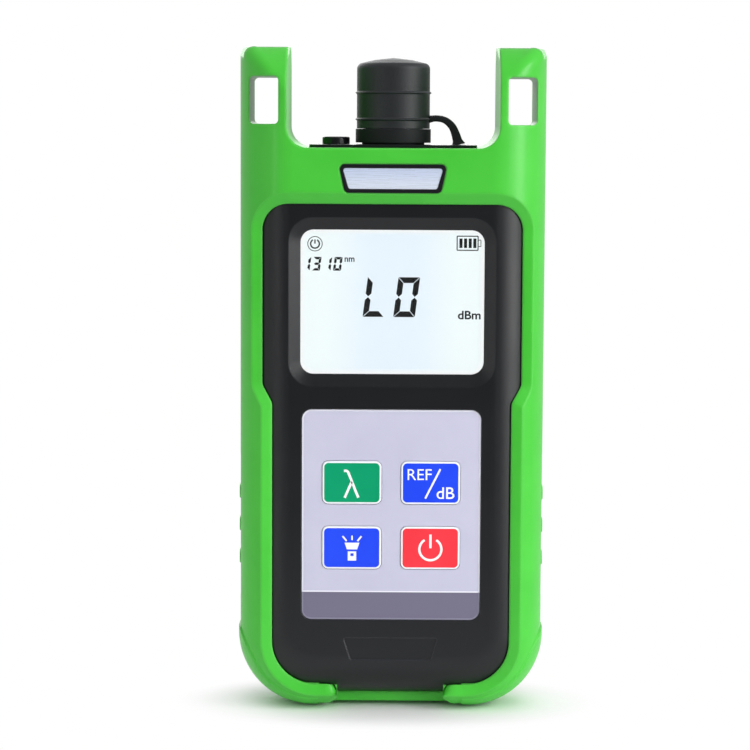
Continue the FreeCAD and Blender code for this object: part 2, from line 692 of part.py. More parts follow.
round_holes(front, "boss_pilots", d.screw_shank + d.screw_slack, d.boss_side,
            boss_heights, post_root + d.boss_end - d.boss_spare, -d.layer_gap)
round_holes(front, "post_pilots", d.board_screw + d.screw_slack, d.post_side,
            post_heights, post_root + d.pilot_floor, d.board_front)
node(front, "front_shell")

# ------------------------------------------------------------------- back shell
back_face = d.case_back
back_inner = back_face - d.case_wall
door_half_width = d.bay_half_width + d.door_margin
door_low = d.bay_low - d.door_margin
door_high = d.bay_high + d.door_margin
pin_y = back_face - d.door_thick / 2
pin_z = door_low + d.door_thick / 2


def bay_box(margin, radius):
    """The battery bay's outline, grown by a margin."""
    return box_corners(-d.bay_half_width - margin, d.bay_low - margin,
                       d.bay_half_width + margin, d.bay_high + margin, radius)


def door_outline(margin, foot_corner, head_corner):
    """The battery door's outline, grown by a margin: tight at the hinge, round above."""
    return [(-door_half_width - margin, door_low - margin, foot_corner),
            (door_half_width + margin, door_low - margin, foot_corner),
            (door_half_width + margin, door_high + margin, head_corner),
            (-door_half_width - margin, door_high + margin, head_corner)]


back = open_shell("back_shell", d.case_back, d.case_back_roll, False)
pad(back, front_sketch(back, "door_ledge", bay_box(d.ledge_width, d.ledge_corner), back_inner),
    d.ledge_thick)
pad(back, front_sketch(back, "bay_tub", bay_box(d.bay_wall, d.tub_corner), back_inner),
    back_inner - d.tub_front)
round_posts(back, "back_bosses", d.boss_outer, d.boss_side, boss_heights,
            d.layer_gap, back_inner + WELD)
pocket(back, front_sketch(back, "bay_hollow", bay_box(0, d.bay_corner), d.bay_floor),
       back_face - d.bay_floor)
pocket(back, front_sketch(back, "door_seat", door_outline(
    d.door_gap, d.seat_foot_corner, d.door_corner + d.door_gap), back_inner), d.case_wall)
hinge_holes = new_sketch(back, "hinge_holes", "YZ_Plane",
                         -door_half_width - d.door_gap - d.door_pin_length)
circle(hinge_holes, pin_y, pin_z, d.door_pin + d.pin_slack)
pocket(back, hinge_holes, (door_half_width + d.door_gap + d.door_pin_length) * 2,
       reverse=True)
top_holes(back, "back_shell")
round_holes(back, "screw_ways", d.screw_shank + d.screw_slack, d.boss_side,
            boss_heights, 0, back_face)
round_holes(back, "screw_sinks", d.screw_head + d.pin_slack, d.boss_side,
            boss_heights, back_face - d.screw_sink, back_face)
node(back, "back_shell")

# ----------------------------------------------------------------- battery door
door = new_body("battery_door")
pad(door, front_sketch(door, "door_outline", door_outline(
    0, d.door_foot_corner, d.door_corner), back_face), d.door_thick)
fillet(door, lambda edge: lies_at(edge, "Z", door_low.value)
       and (lies_at(edge, "Y", back_face.value) or lies_at(edge, "Y", d.door_inner.value)),
       d.door_thick / 2 - d.layer_gap)
pad(door, front_sketch(door, "latch", box_corners(
    -d.latch_half_width, d.bay_high - d.latch_gap - d.latch_thick,
    d.latch_half_width, d.bay_high - d.latch_gap), d.door_inner),
    d.door_inner - d.cell_middle - d.contact_depth / 2 - d.layer_gap)
pins = new_sketch(door, "hinge_pins", "YZ_Plane", -door_half_width - d.door_pin_length)
circle(pins, pin_y, pin_z, d.door_pin)
pad(door, pins, (door_half_width + d.door_pin_length) * 2)
pocket(door, front_sketch(door, "thumb_recess", box_corners(
    -d.thumb_half_width, door_high - d.thumb_inset - d.thumb_height,
    d.thumb_half_width, door_high - d.thumb_inset, d.thumb_corner),
    back_face - d.thumb_depth),
    d.thumb_depth)
node(door, "battery_door")

# -------------------------------------------------------- battery cells, contacts
cell_low = d.bay_low + d.bay_end_room
for index in range(CELL_COUNT):
    x = d.cell_pitch * (index - (CELL_COUNT - 1) / 2)
    up = index % 2 == 0
    can = column("cell_can_%d" % (index + 1), d.cell_outer, x, d.cell_middle, cell_low,
                 cell_low + d.cell_length)
    tip_low = cell_low + d.cell_length if up else cell_low - d.cell_button_length
    tip = column("cell_tip_%d" % (index + 1), d.cell_button, x, d.cell_middle, tip_low,
                 tip_low + d.cell_button_length)
    node(gather("battery_cell_%d" % (index + 1), [can, tip]),
         "battery_cell_%d" % (index + 1))


def leaf_contacts(name, level, inward):
    """Stamped contact plates at one end of the bay, each with a spring leaf bent inward."""
    plates = []
    for index in range(CELL_COUNT):
        x = d.cell_pitch * (index - (CELL_COUNT - 1) / 2)
        body = new_body("%s_%d" % (name, index + 1))
        reach = d.bay_end_room - d.contact_gap
        if (index % 2 == 0) == (inward < 0):
            reach = reach - d.cell_button_length
        near = d.cell_middle - d.contact_depth / 2
        far = d.cell_middle + d.contact_depth / 2
        thick, hem = d.contact_thick, d.contact_hem
        corners = [
            (near, level), (far, level), (far, level + thick * inward),
            (near + hem, level + thick * inward),
            (d.cell_middle, level + (reach - thick) * inward),
            (far - thick, level + hem * inward),
            (far - thick, level + (hem + thick) * inward),
            (d.cell_middle, level + reach * inward), (near, level + thick * inward)]
        sketch = side_sketch(body, "%s_profile_%d" % (name, index + 1), corners,
                             x - d.contact_width / 2)
        pad(body, sketch, d.contact_width)
        plates.append(body)
    return node(gather(name, plates, "Part::Compound"), name)


leaf_contacts("lower_contacts", d.bay_low + d.layer_gap, 1)
leaf_contacts("upper_contacts", d.bay_high - d.layer_gap, -1)

# ------------------------------------------------------------------ display stack
lens_back = lens_face + d.lens_thick
glass_front = lens_back + d.layer_gap
glass_back = glass_front + d.glass_thick
light_front = glass_back + d.layer_gap
light_back = d.board_front - d.layer_gap
node(slab("lcd_window", box_corners(-lens_half_width, lens_low, lens_half_width,
                                    lens_high, d.lens_ledge), lens_face, lens_back),
     "lcd_window")
node(slab("lcd_glass", box_corners(-lens_half_width, lens_low, lens_half_width,
                                   lens_high, d.lens_ledge), glass_front, glass_back),
     "lcd_glass")
node(slab("lcd_backlight", box_corners(
    -lens_half_width, lens_low + d.strip_height + d.backlight_gap,
    lens_half_width, lens_high - d.strip_height - d.backlight_gap),
    light_front, light_back), "lcd_backlight")
strips = [block("lcd_strip_" + name, -lens_half_width, lens_half_width, light_front,
                light_back, low, low + d.strip_height)
          for name, low in (("lower", lens_low), ("upper", lens_high - d.strip_height))]
node(gather("lcd_connector", strips, "Part::Compound"), "lcd_connector")

# ---------------------------------------------------------------------- key panel
panel_front = panel_floor - d.panel_thick
panel = new_body("keypad_overlay")
pad(panel, front_sketch(panel, "overlay_outline", box_corners(
    -d.panel_half_width + d.panel_gap, d.panel_low + d.panel_gap,
    d.panel_half_width - d.panel_gap, d.panel_high - d.panel_gap,
    d.panel_corner - d.panel_gap), panel_floor), d.panel_thick)
for name, x, z in KEYS:
    pocket(panel, front_sketch(panel, name + "_window", key_outline(x, z, d.key_gap),
                               panel_front), d.panel_thick)
node(panel, "keypad_overlay")
key_front = panel_front - d.key_proud
flange_front = front_inner + d.layer_gap
flange_back = flange_front + d.key_flange_thick
stem_back = flange_back + d.key_stem_length
for name, x, z in KEYS:
    key = new_body(name)
    pad(key, front_sketch(key, name + "_top", key_outline(x, z, 0), flange_front),
        flange_front - key_front)
    pad(key, front_sketch(key, name + "_flange", key_outline(x, z, d.key_flange),
                          flange_back), d.key_flange_thick)
    stem = new_sketch(key, name + "_stem", "XZ_Plane", -stem_back)
    circle(stem, x, z, d.key_stem)
    pad(key, stem, d.key_stem_length)
    fillet(key, lambda edge: lies_at(edge, "Y", key_front.value), d.key_round)
    node(key, name)
switches = []
tip_front = stem_back + d.key_travel + d.press_gap
switch_front = tip_front + d.switch_tip
for name, x, z in KEYS:
    half = d.switch_width / 2
    switches.append(gather(name + "_switch", [
        block(name + "_switch_body", x - half, x + half, switch_front, d.board_front,
              z - half, z + half),
        rod(name + "_switch_tip", d.switch_stem, x, tip_front, switch_front + JOIN, z)]))
node(gather("key_switches", switches, "Part::Compound"), "key_switches")

# ------------------------------------------------------------------ circuit board
board = new_body("main_board")
pad(board, front_sketch(board, "board_outline", box_corners(
    -d.board_half_width, d.board_low, d.board_half_width, d.board_high,
    d.board_corner), d.board_back), d.board_thick)
round_holes(board, "board_holes", d.board_screw + d.board_hole_gap, d.post_side,
            post_heights, d.board_front, d.board_back)
node(board, "main_board")


def chip(name, half_x, half_z, z):
    """A flat part soldered on the back of the board."""
    body = slab(name, box_corners(-half_x, z - half_z, half_x, z + half_z),
                d.board_back, d.board_back + d.chip_thick)
    return node(body, name)


chip("processor_chip", d.processor_side / 2, d.processor_side / 2, d.processor_z)
chip("amplifier_chip", d.amplifier_width / 2, d.amplifier_height / 2, d.amplifier_z)
chip("crystal_can", d.crystal_width / 2, d.crystal_height / 2, d.crystal_z)


def screws(name, shank, head, head_thick, x, heights, tip, seat):
    """A group of pan-head screws along Y, from their tips to the seats of their heads."""
    group = []
    for level, z in enumerate(heights):
        for side, sign in SIDES:
            label = "%s_%s_%d" % (name, side, level + 1)
            group.append(gather(label, [
                rod(label + "_shank", shank, x * sign, tip, seat + JOIN, z),
                rod(label + "_head", head, x * sign, seat, seat + head_thick, z)]))
    return node(gather(name, group, "Part::Compound"), name)


screws("board_screws", d.board_screw, d.board_screw_head, d.chip_thick, d.post_side,
       post_heights, post_root + d.pilot_floor + d.pilot_spare, d.board_back)
screws("case_screws", d.screw_shank, d.screw_head, d.screw_head_thick, d.boss_side,
       boss_heights, post_root + d.boss_end, back_face - d.screw_sink)

# ---------------------------------------------------------------------- boot form
boot_front = -(d.case_front + d.boot_wall)
boot_back = d.case_back + d.boot_wall
boot = new_body("boot_form")
far_out = d.boot_half_width + OVERCUT
above = d.horn_top + OVERCUT
ahead = boot_front - OVERCUT
pad(boot, front_sketch(boot, "boot_outline", [
    (-d.boot_half_width, d.boot_floor, d.case_corner + d.boot_wall),
    (d.boot_half_width, d.boot_floor, d.case_corner + d.boot_wall),
    (d.boot_half_width, d.horn_top, d.horn_corner),
    (-d.boot_half_width, d.horn_top, d.horn_corner)], boot_back), boot_back - boot_front)
for plane, radius in ((boot_front, d.case_roll), (boot_back, d.case_back_roll)):
    level, highest = plane.value, d.horn_top.value - d.horn_corner.value + NEAR
    fillet(boot, lambda edge: lies_at(edge, "Y", level) and edge.BoundBox.ZMax < highest,
           radius + d.boot_wall)
pocket(boot, front_sketch(boot, "notch", [
    (-d.horn_inner, d.sill_high, d.notch_corner),
    (d.horn_inner, d.sill_high, d.notch_corner),
    (d.horn_inner, d.horn_top, d.horn_corner), (far_out, d.horn_top),
    (far_out, above), (-far_out, above), (-far_out, d.horn_top),
    (-d.horn_inner, d.horn_top, d.horn_corner)], boot_front), boot_back - boot_front)
scoop_low = d.horn_foot + (ahead + d.horn_front) * d.scoop_rise
pocket(boot, side_sketch(boot, "scoop", [
    (ahead, above), (ahead, scoop_low), (-d.horn_front, d.horn_foot, d.horn_blend),
    (-d.horn_front, above)], -far_out), far_out * 2, reverse=True)
pocket(boot, side_sketch(boot, "horn_slope", [
    (-d.horn_front, above), (-d.horn_front, d.horn_top - d.horn_top_drop),
    (boot_back, d.horn_top), (boot_back, above)], -far_out), far_out * 2, reverse=True)
for name, sign in SIDES:
    x0, x1 = (d.eyelet_inner, d.eyelet_outer)
    if sign < 0:
        x0, x1 = -d.eyelet_outer, -d.eyelet_inner
    pocket(boot, front_sketch(boot, "eyelet_" + name, box_corners(
        x0, d.eyelet_low, x1, d.eyelet_high, d.eyelet_corner), boot_front),
        boot_back - boot_front)
opening = mirrored([
    (d.lobe_end + d.lobe_chamfer_high + OVERCUT, -OVERCUT),
    (d.lobe_end, d.lobe_chamfer_high),
    (d.lobe_end, d.lobe_top, d.lobe_nose), (d.waist_half_width, d.lobe_top, d.lobe_corner),
    (d.waist_half_width, d.waist_low, d.waist_round),
    (d.opening_half_width, d.waist_high, d.waist_round),
    (d.opening_half_width, d.opening_high, d.opening_corner)])
pocket(boot, front_sketch(boot, "opening", opening, boot_front - OVERCUT),
       d.opening_depth + OVERCUT)
toe_foot = d.lobe_end + d.lobe_chamfer_high + OVERCUT
pocket(boot, front_sketch(boot, "toe_gap", mirrored([
    (toe_foot, -OVERCUT), (d.lobe_end, d.lobe_chamfer_high), (d.lobe_end, d.lobe_top)]),
    boot_front - OVERCUT), d.toe_depth + OVERCUT)


def skin_front(x, z, grown, floor):
    """How far forward the case's rolled form stands at x, z, when grown by a margin."""
    corner = d.case_corner.value + grown
    roll = d.case_roll.value + grown
    side, rise = d.case_half_width.value + grown - abs(x), z - floor
    if side < corner and rise < corner:
        inset = corner - math.hypot(corner - side, corner - rise)
    else:
        inset = min(side, rise)
    front_plane = -d.case_front.value - grown
    if inset >= roll:
        return front_plane
    return front_plane + roll - math.sqrt(roll ** 2 - (roll - inset) ** 2)


def lip_section(point, out, width):
    """A four-sided section of the lip's bevel: from the case's face out to the crest."""
    crest = point + out * width
    foot_depth = skin_front(point.x, point.y, 0, d.case_floor.value) - d.lip_rise.value
    crest_depth = skin_front(crest.x, crest.y, d.boot_wall.value, d.boot_floor.value)
    slope = (crest_depth - foot_depth) / width
    near, far = -d.lip_spill.value, width + d.lip_spill.value
    corners = []
    for reach, depth in ((near, foot_depth + slope * near), (far, foot_depth + slope * far),
                         (far, ahead.value), (near, ahead.value)):
        spot = point + out * reach
        corners.append(FreeCAD.Vector(spot.x, depth, spot.y))
    return Part.makePolygon(corners + corners[:1])


def lip_stations(arcs, sign):
    """Points and outward directions along one side of the opening, run by run."""
    runs = []
    for i, (begin, centre, end) in enumerate(arcs):
        if i:
            out = (begin - arcs[i - 1][2]).normalize()
            out = FreeCAD.Vector(out.y, -out.x, 0)
            runs.append([(arcs[i - 1][2], out), (begin, out)])
        if centre is None:
            continue
        first, last, turns_left = arc_angles(begin, centre, end)
        sweep = (last - first + math.pi) % (2 * math.pi) - math.pi
        radius = (begin - centre).Length
        bend = []
        for step in range(LIP_STEPS + 1):
            angle = first + sweep * step / LIP_STEPS
            ray = FreeCAD.Vector(math.cos(angle), math.sin(angle), 0)
            bend.append((centre + ray * radius, ray if turns_left else -ray))
        runs.append(bend)
    return [[(FreeCAD.Vector(p.x * sign, p.y, 0), FreeCAD.Vector(n.x * sign, n.y, 0))
             for p, n in run] for run in runs]


def lip_tools():
    """The bevel's cutters, one for each run of the opening's edge on both sides."""
    half = corner_arcs(opening)[1:len(opening) // 2]
    nose_x, nose_z = half[1][2].x, d.lobe_top.value
    half.append((FreeCAD.Vector(0, half[-1][2].y, 0), None, None))
    tools = []
    for _, sign in SIDES:
        for run in lip_stations(half, sign):
            sections = []
            for point, out in run:
                width = d.lip_width.value
                if abs(point.x) < nose_x + NEAR and point.y < nose_z:
                    width = max(point.y - nose_z + width, 0)
                if point.y < nose_z + NEAR and abs(point.x) < half[2][0].x:
                    out = FreeCAD.Vector(0, -1, 0)
                if width > d.lip_spill.value / 2:
                    sections.append(lip_section(point, out, width))
            if len(sections) > 1:
                tools.append(Part.makeLoft(sections, True, len(sections) == 2))
    return tools


arch_run = d.lobe_end + d.lobe_chamfer_high
pocket(boot, front_sketch(boot, "foot_arch", [
    (-arch_run, -OVERCUT), (arch_run, -OVERCUT), (arch_run, 0),
    (arch_run - d.arch_high, d.arch_high), (-arch_run + d.arch_high, d.arch_high),
    (-arch_run, 0)], boot_front), boot_back - boot_front)
pocket(boot, outline(new_sketch(boot, "sill_window", "XY_Plane", d.sill_high), box_corners(
    -d.plate_half_width - d.plate_gap, -d.plate_half_depth - d.plate_gap,
    d.plate_half_width + d.plate_gap, d.plate_half_depth + d.plate_gap,
    d.plate_corner + d.plate_gap)), d.boot_wall + OVERCUT)
pocket(boot, front_sketch(boot, "door_window", box_corners(
    -door_half_width - d.back_window_margin, door_low - d.back_window_margin,
    door_half_width + d.back_window_margin, door_high + d.back_window_margin,
    d.back_window_corner), back_face - OVERCUT), d.boot_wall + OVERCUT)


def badge_outline(margin, corner):
    """The badge's outline, grown by a margin."""
    return [(-d.badge_foot_half - margin, d.badge_low - margin, corner),
            (d.badge_foot_half + margin, d.badge_low - margin, corner),
            (d.badge_top_half + margin, d.badge_high + margin, corner),
            (-d.badge_top_half - margin, d.badge_high + margin, corner)]


pocket(boot, front_sketch(boot, "badge_seat", badge_outline(d.badge_gap, d.badge_corner),
                          boot_front), d.badge_depth)
for name, sign in SIDES:
    grip_floor = (d.boot_half_width - d.grip_depth) * sign
    pocket(boot, side_sketch(boot, "grip_" + name, box_corners(
        -d.grip_front, d.grip_low, d.grip_back, d.grip_high, d.grip_corner),
        grip_floor), d.grip_depth + OVERCUT, reverse=sign > 0)
    rib = pad(boot, side_sketch(boot, "rib_" + name, box_corners(
        -d.grip_front + d.rib_margin, d.rib_first, d.grip_back - d.rib_margin,
        d.rib_first + d.rib_height, d.grip_corner), grip_floor - WELD * sign),
        d.grip_depth + d.rib_proud + WELD, reverse=sign < 0)
    ribs = boot.newObject("PartDesign::LinearPattern", "ribs_" + name)
    ribs.Originals = [rib]
    ribs.Direction = (origin_plane(boot, "Z_Axis"), [""])
    ribs.Length = d.rib_run.value
    ribs.setExpression("Length", d.rib_run.text)
    ribs.Occurrences = RIB_COUNT
    ribs.setExpression("Occurrences", d.rib_count.text)
    boot.Tip = ribs
    doc.recompute()
bumper = rolled_block("bumper_skin", d.boot_half_width + d.bumper_side, d.bumper_floor,
                      d.bumper_high + d.bumper_round, d.case_corner + d.boot_wall,
                      -boot_front, boot_back, d.case_roll + d.boot_wall,
                      d.case_back_roll + d.boot_wall)
bumper_head = d.bumper_high + d.bumper_round + OVERCUT
gap_head = d.bumper_end - d.bumper_lean
pocket(bumper, front_sketch(bumper, "bumper_gap", [
    (-d.bumper_end, -OVERCUT), (d.bumper_end, -OVERCUT), (d.bumper_end, d.bumper_root),
    (gap_head, bumper_head), (-gap_head, bumper_head), (-d.bumper_end, d.bumper_root)],
    boot_front), boot_back - boot_front)
zone = new_body("bumper_zone")
pad(zone, side_sketch(zone, "bumper_zone_outline", [
    (-d.bumper_depth / 2, -OVERCUT), (d.bumper_depth / 2, -OVERCUT),
    (d.bumper_depth / 2, d.bumper_high, d.bumper_round),
    (-d.bumper_depth / 2, d.bumper_high, d.bumper_round)], -far_out), far_out * 2)
bumpers = doc.addObject("Part::Common", "bumpers")
bumpers.Base = bumper
bumpers.Tool = zone
doc.recompute()
solid = gather("boot_solid", [boot, bumpers])
bevelled = doc.addObject("Part::Feature", "boot_bevelled")
bevelled.Shape = solid.Shape.cut(lip_tools())
core = rolled_block("boot_core", d.case_half_width + d.boot_seat_gap,
                    d.case_floor - d.boot_seat_gap, d.case_top + d.boot_seat_gap,
                    d.case_corner + d.boot_seat_gap, d.case_front + d.boot_seat_gap,
                    d.case_back + d.boot_seat_gap, d.case_roll + d.boot_seat_gap,
                    d.case_back_roll + d.boot_seat_gap)
node(cut("rubber_boot", bevelled, core), "rubber_boot")

# --------------------------------------------------------------------------- badge
badge = new_body("badge_frame")
badge_front = boot_front - d.badge_proud
badge_floor = boot_front + d.badge_depth
pad(badge, front_sketch(badge, "badge_outline", badge_outline(0, d.badge_corner),
                        badge_floor - d.layer_gap),
    d.badge_depth + d.badge_proud - d.layer_gap)
pocket(badge, front_sketch(badge, "badge_well", badge_outline(
    -d.badge_rim, d.badge_corner / 2), badge_front), d.badge_plate_thick)
node(badge, "badge_frame")
node(slab("badge_plate", badge_outline(-d.badge_rim - d.badge_gap, d.badge_corner / 2),
          badge_front + d.badge_proud, badge_front + d.badge_plate_thick), "badge_plate")

# ------------------------------------------------------------------- connector end
plate = tower("top_plate", box_corners(
    -d.plate_half_width, -d.plate_half_depth, d.plate_half_width, d.plate_half_depth,
    d.plate_corner), d.case_top, d.plate_top)
holes = new_sketch(plate, "plate_holes", "XY_Plane", d.plate_top)
circle(holes, 0, 0, d.port_neck + d.port_gap)
circle(holes, d.jack_x, 0, d.jack_neck + d.jack_gap)
pocket(plate, holes, d.plate_top - d.case_top)
node(plate, "top_plate")
wall_below = d.case_top - d.case_wall
node(revolved("port_base", [
    (d.port_bore, d.port_low), (d.port_neck, d.port_low), (d.port_neck, d.collar_low),
    (d.port_collar, d.collar_low), (d.port_collar, d.collar_high),
    (d.port_bore, d.collar_high)]), "port_base")
node(revolved("port_nut", [
    (d.port_neck + d.screw_slack, wall_below - d.layer_gap - d.port_nut_thick),
    (d.port_nut, wall_below - d.layer_gap - d.port_nut_thick),
    (d.port_nut, wall_below - d.layer_gap),
    (d.port_neck + d.screw_slack, wall_below - d.layer_gap)]), "port_nut")
adapter_spigot = d.port_bore - d.screw_slack
node(revolved("port_adapter", [
    (d.sleeve_outer, d.adapter_low), (adapter_spigot, d.adapter_low),
    (adapter_spigot, d.collar_high + d.layer_gap),
    (d.adapter_flange, d.collar_high + d.layer_gap),
    (d.adapter_flange, d.collar_high + d.adapter_flange_thick),
    (d.adapter_barrel, d.collar_high + d.adapter_flange_thick),
    (d.adapter_barrel, d.adapter_high), (d.adapter_mouth, d.adapter_high),
    (d.adapter_mouth, d.sleeve_high + d.layer_gap),
    (d.sleeve_outer, d.sleeve_high + d.layer_gap)]), "port_adapter")
node(revolved("ferrule_sleeve", [
    (d.ferrule_bore, d.sleeve_low), (d.sleeve_outer, d.sleeve_low),
    (d.sleeve_outer, d.sleeve_high), (d.ferrule_bore, d.sleeve_high)]), "ferrule_sleeve")
glass_low = d.detector_high - d.detector_wall - d.detector_glass
node(revolved("detector_can", [
    (0, d.detector_low), (d.detector_outer, d.detector_low),
    (d.detector_outer, d.detector_high), (d.detector_hole, d.detector_high),
    (d.detector_hole, d.detector_high - d.detector_wall),
    (d.detector_outer - d.detector_wall, d.detector_high - d.detector_wall),
    (d.detector_outer - d.detector_wall, d.detector_low + d.detector_floor),
    (0, d.detector_low + d.detector_floor)]), "detector_can")
node(revolved("detector_window", [
    (0, glass_low), (d.detector_outer - d.detector_wall - d.sleeve_gap, glass_low),
    (d.detector_outer - d.detector_wall - d.sleeve_gap, glass_low + d.detector_glass),
    (0, glass_low + d.detector_glass)]), "detector_window")
diode_low = d.detector_low + d.detector_floor
node(tower("photodiode", box_corners(-d.diode_side / 2, -d.diode_side / 2,
                                     d.diode_side / 2, d.diode_side / 2),
           diode_low, diode_low + d.diode_thick), "photodiode")

# ------------------------------------------------------------------------ dust cap

def ridge_points(level):
    """A bead on the cap's side, from below to above."""
    return [(d.cap_outer, level - d.cap_ridge_half), (d.cap_outer + d.cap_ridge, level),
            (d.cap_outer, level + d.cap_ridge_half)]


cap = revolved("dust_cap", [
    (d.cap_skirt_inner, d.cap_low), (d.cap_outer, d.cap_low)]
    + ridge_points(d.cap_ridge_low) + ridge_points(d.cap_ridge_high) + [
    (d.cap_outer, d.cap_shoulder + d.cap_edge_round, d.cap_edge_round),
    (d.cap_crown, d.cap_crown_high, d.cap_crown_round), (0, d.cap_high), (0, d.cap_inner_high),
    (d.cap_inner, d.cap_inner_high), (d.cap_inner, d.cap_skirt_high),
    (d.cap_skirt_inner, d.cap_skirt_high)])
node(cap, "dust_cap")
strap_start = d.cap_outer + d.cap_ridge + d.tether_gap
strap_high = d.tether_start_high + d.tether_thick / 2
strap_low = strap_high - d.tether_thick
neck_middle = d.tether_foot_x - d.tether_neck_shift
neck_out, neck_in = neck_middle + d.tether_neck / 2, neck_middle - d.tether_neck / 2
neck_high = d.plate_top + d.tether_foot_high
foot_out = d.tether_foot_x + d.tether_foot_width / 2
foot_in = foot_out - d.tether_foot_width
foot_low, foot_high = d.plate_top + d.layer_gap, d.plate_top + d.tether_collar
tether = new_body("cap_tether")
pad(tether, front_sketch(tether, "tether_outline", [
    (strap_start, strap_low), (strap_start, strap_high),
    (neck_out - d.tether_lean, strap_high, d.tether_bend),
    (neck_out, neck_high, d.tether_neck_round), (foot_out, foot_high),
    (foot_out, foot_low), (foot_in, foot_low), (foot_in, foot_high),
    (neck_in, neck_high, d.tether_neck_round),
    (neck_in - d.tether_lean, strap_low, d.tether_crook)], d.tether_width / 2),
    d.tether_width)
node(tether, "cap_tether")

# ---------------------------------------------------------------------- power jack
jack_neck_high = d.plate_top + d.jack_neck_rise
jack_foot = wall_below - d.layer_gap - d.jack_body_length
jack_case = block("jack_case", d.jack_x - d.jack_body / 2, d.jack_x + d.jack_body / 2,
                  -d.jack_body / 2, d.jack_body / 2, jack_foot, wall_below - d.layer_gap)
jack_neck = column("jack_neck", d.jack_neck, d.jack_x, 0, jack_foot + WELD,
                   jack_neck_high)
jack_floor = jack_neck_high - d.jack_bore_depth
jack_hole = column("jack_hole", d.jack_bore, d.jack_x, 0, jack_floor,
                   jack_neck_high + OVERCUT)
node(cut("dc_jack", gather("jack_solid", [jack_case, jack_neck]), jack_hole), "dc_jack")
node(column("jack_pin", d.jack_pin, d.jack_x, 0, jack_floor,
            jack_floor + d.jack_pin_length), "jack_pin")
ring = new_body("jack_nut")
ring_low = d.plate_top + d.layer_gap
ring_sketch = new_sketch(ring, "jack_nut_ring", "XY_Plane", ring_low)
circle(ring_sketch, d.jack_x, 0, d.jack_nut_outer)
circle(ring_sketch, d.jack_x, 0, d.jack_neck + d.sleeve_gap)
pad(ring, ring_sketch, d.jack_nut_high - ring_low)
fillet(ring, lambda edge: lies_at(edge, "Z", d.jack_nut_high.value)
       and abs(edge.BoundBox.XLength / 2 - d.jack_nut_outer.value) < NEAR, d.jack_nut_round)
node(ring, "jack_nut")

# -------------------------------------------------------------- checks and export
doc.recompute()
for item in doc.Objects:
    if "Invalid" in item.State or "Error" in item.State:
        raise RuntimeError("%s failed: %s" % (item.Name, item.State))
for item in NODES:
    shape = item.Shape
    if shape.isNull() or not shape.isValid():
        raise RuntimeError("bad shape in " + item.Label)
os.makedirs("parts", exist_ok=True)
for item in NODES:
    item.Shape.exportStep("parts/%s.step" % item.Label)
    print("%-18s %d solids %10.1f mm3 %4d faces" % (
        item.Label, len(item.Shape.Solids), item.Shape.Volume, len(item.Shape.Faces)))
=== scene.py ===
# %% [markdown]
# # A hand-held optical power meter in a rubber boot
# The meter is a flat black plastic case with a green rubber boot stretched over it.
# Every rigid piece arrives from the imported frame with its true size, so this lesson
# dresses those pieces, and adds what is printed, cast or bent: the figures on the
# display, the symbols on the keys and the strap that keeps the dust cap.

# %% Load the frame and keep its size
import math

import bpy
import numpy as np
from mathutils import Matrix, Vector


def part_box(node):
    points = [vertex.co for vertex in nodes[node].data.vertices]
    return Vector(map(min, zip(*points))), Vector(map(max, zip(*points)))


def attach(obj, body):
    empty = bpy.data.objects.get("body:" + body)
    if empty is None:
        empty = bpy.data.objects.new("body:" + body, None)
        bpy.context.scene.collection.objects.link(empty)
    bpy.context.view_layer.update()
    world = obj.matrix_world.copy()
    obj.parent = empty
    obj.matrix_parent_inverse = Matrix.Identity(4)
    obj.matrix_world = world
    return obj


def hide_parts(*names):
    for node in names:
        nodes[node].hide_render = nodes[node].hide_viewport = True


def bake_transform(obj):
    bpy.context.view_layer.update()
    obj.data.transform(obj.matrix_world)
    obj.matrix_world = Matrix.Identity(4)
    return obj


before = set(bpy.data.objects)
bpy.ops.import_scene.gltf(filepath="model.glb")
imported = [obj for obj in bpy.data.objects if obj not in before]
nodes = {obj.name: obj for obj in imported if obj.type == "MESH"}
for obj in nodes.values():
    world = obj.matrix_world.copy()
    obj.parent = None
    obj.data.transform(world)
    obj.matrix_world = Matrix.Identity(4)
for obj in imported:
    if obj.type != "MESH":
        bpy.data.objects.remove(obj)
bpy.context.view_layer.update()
MM = 0.001


# %% [markdown]
# ## The camera
# A long lens about 64 cm away flattens the meter the way a product picture does.
# It stands a little above the middle and looks slightly down, so the tops of the two
# horns show.  A small shift of the lens keeps the upright lines upright.

# %% Camera
CAMERA_PLACE = Vector((0.0, -0.640, 0.158))
CAMERA_DIP = math.radians(5.543)
CAMERA_ROLL = math.radians(0.326)
CAMERA_LENS = 114.95
CAMERA_SHIFT = (-0.0227, -0.0328)
SENSOR_WIDTH = 36.0
NEAREST, FARTHEST = 0.05, 20.0

camera_data = bpy.data.cameras.new("camera")
camera_data.lens = CAMERA_LENS
camera_data.sensor_width = SENSOR_WIDTH
camera_data.shift_x, camera_data.shift_y = CAMERA_SHIFT
camera_data.clip_start, camera_data.clip_end = NEAREST, FARTHEST
camera = bpy.data.objects.new("camera", camera_data)
camera.matrix_world = (Matrix.Translation(CAMERA_PLACE)
                       @ Matrix.Rotation(math.pi / 2 - CAMERA_DIP, 4, "X")
                       @ Matrix.Rotation(CAMERA_ROLL, 4, "Z"))
bpy.context.scene.collection.objects.link(camera)
bpy.context.scene.camera = camera
bpy.context.scene.view_settings.view_transform = "Standard"
print("camera at", [round(part, 3) for part in CAMERA_PLACE], "m, lens", CAMERA_LENS, "mm")


# %% [markdown]
# ## Building materials from nodes
# A material is a small graph.  A few helpers keep the graphs short: one adds a node and
# sets its inputs, others do a sum, blend two colours or make a soft threshold, and one
# turns a colour written as 0 to 255 into the linear numbers that light is worked out in.

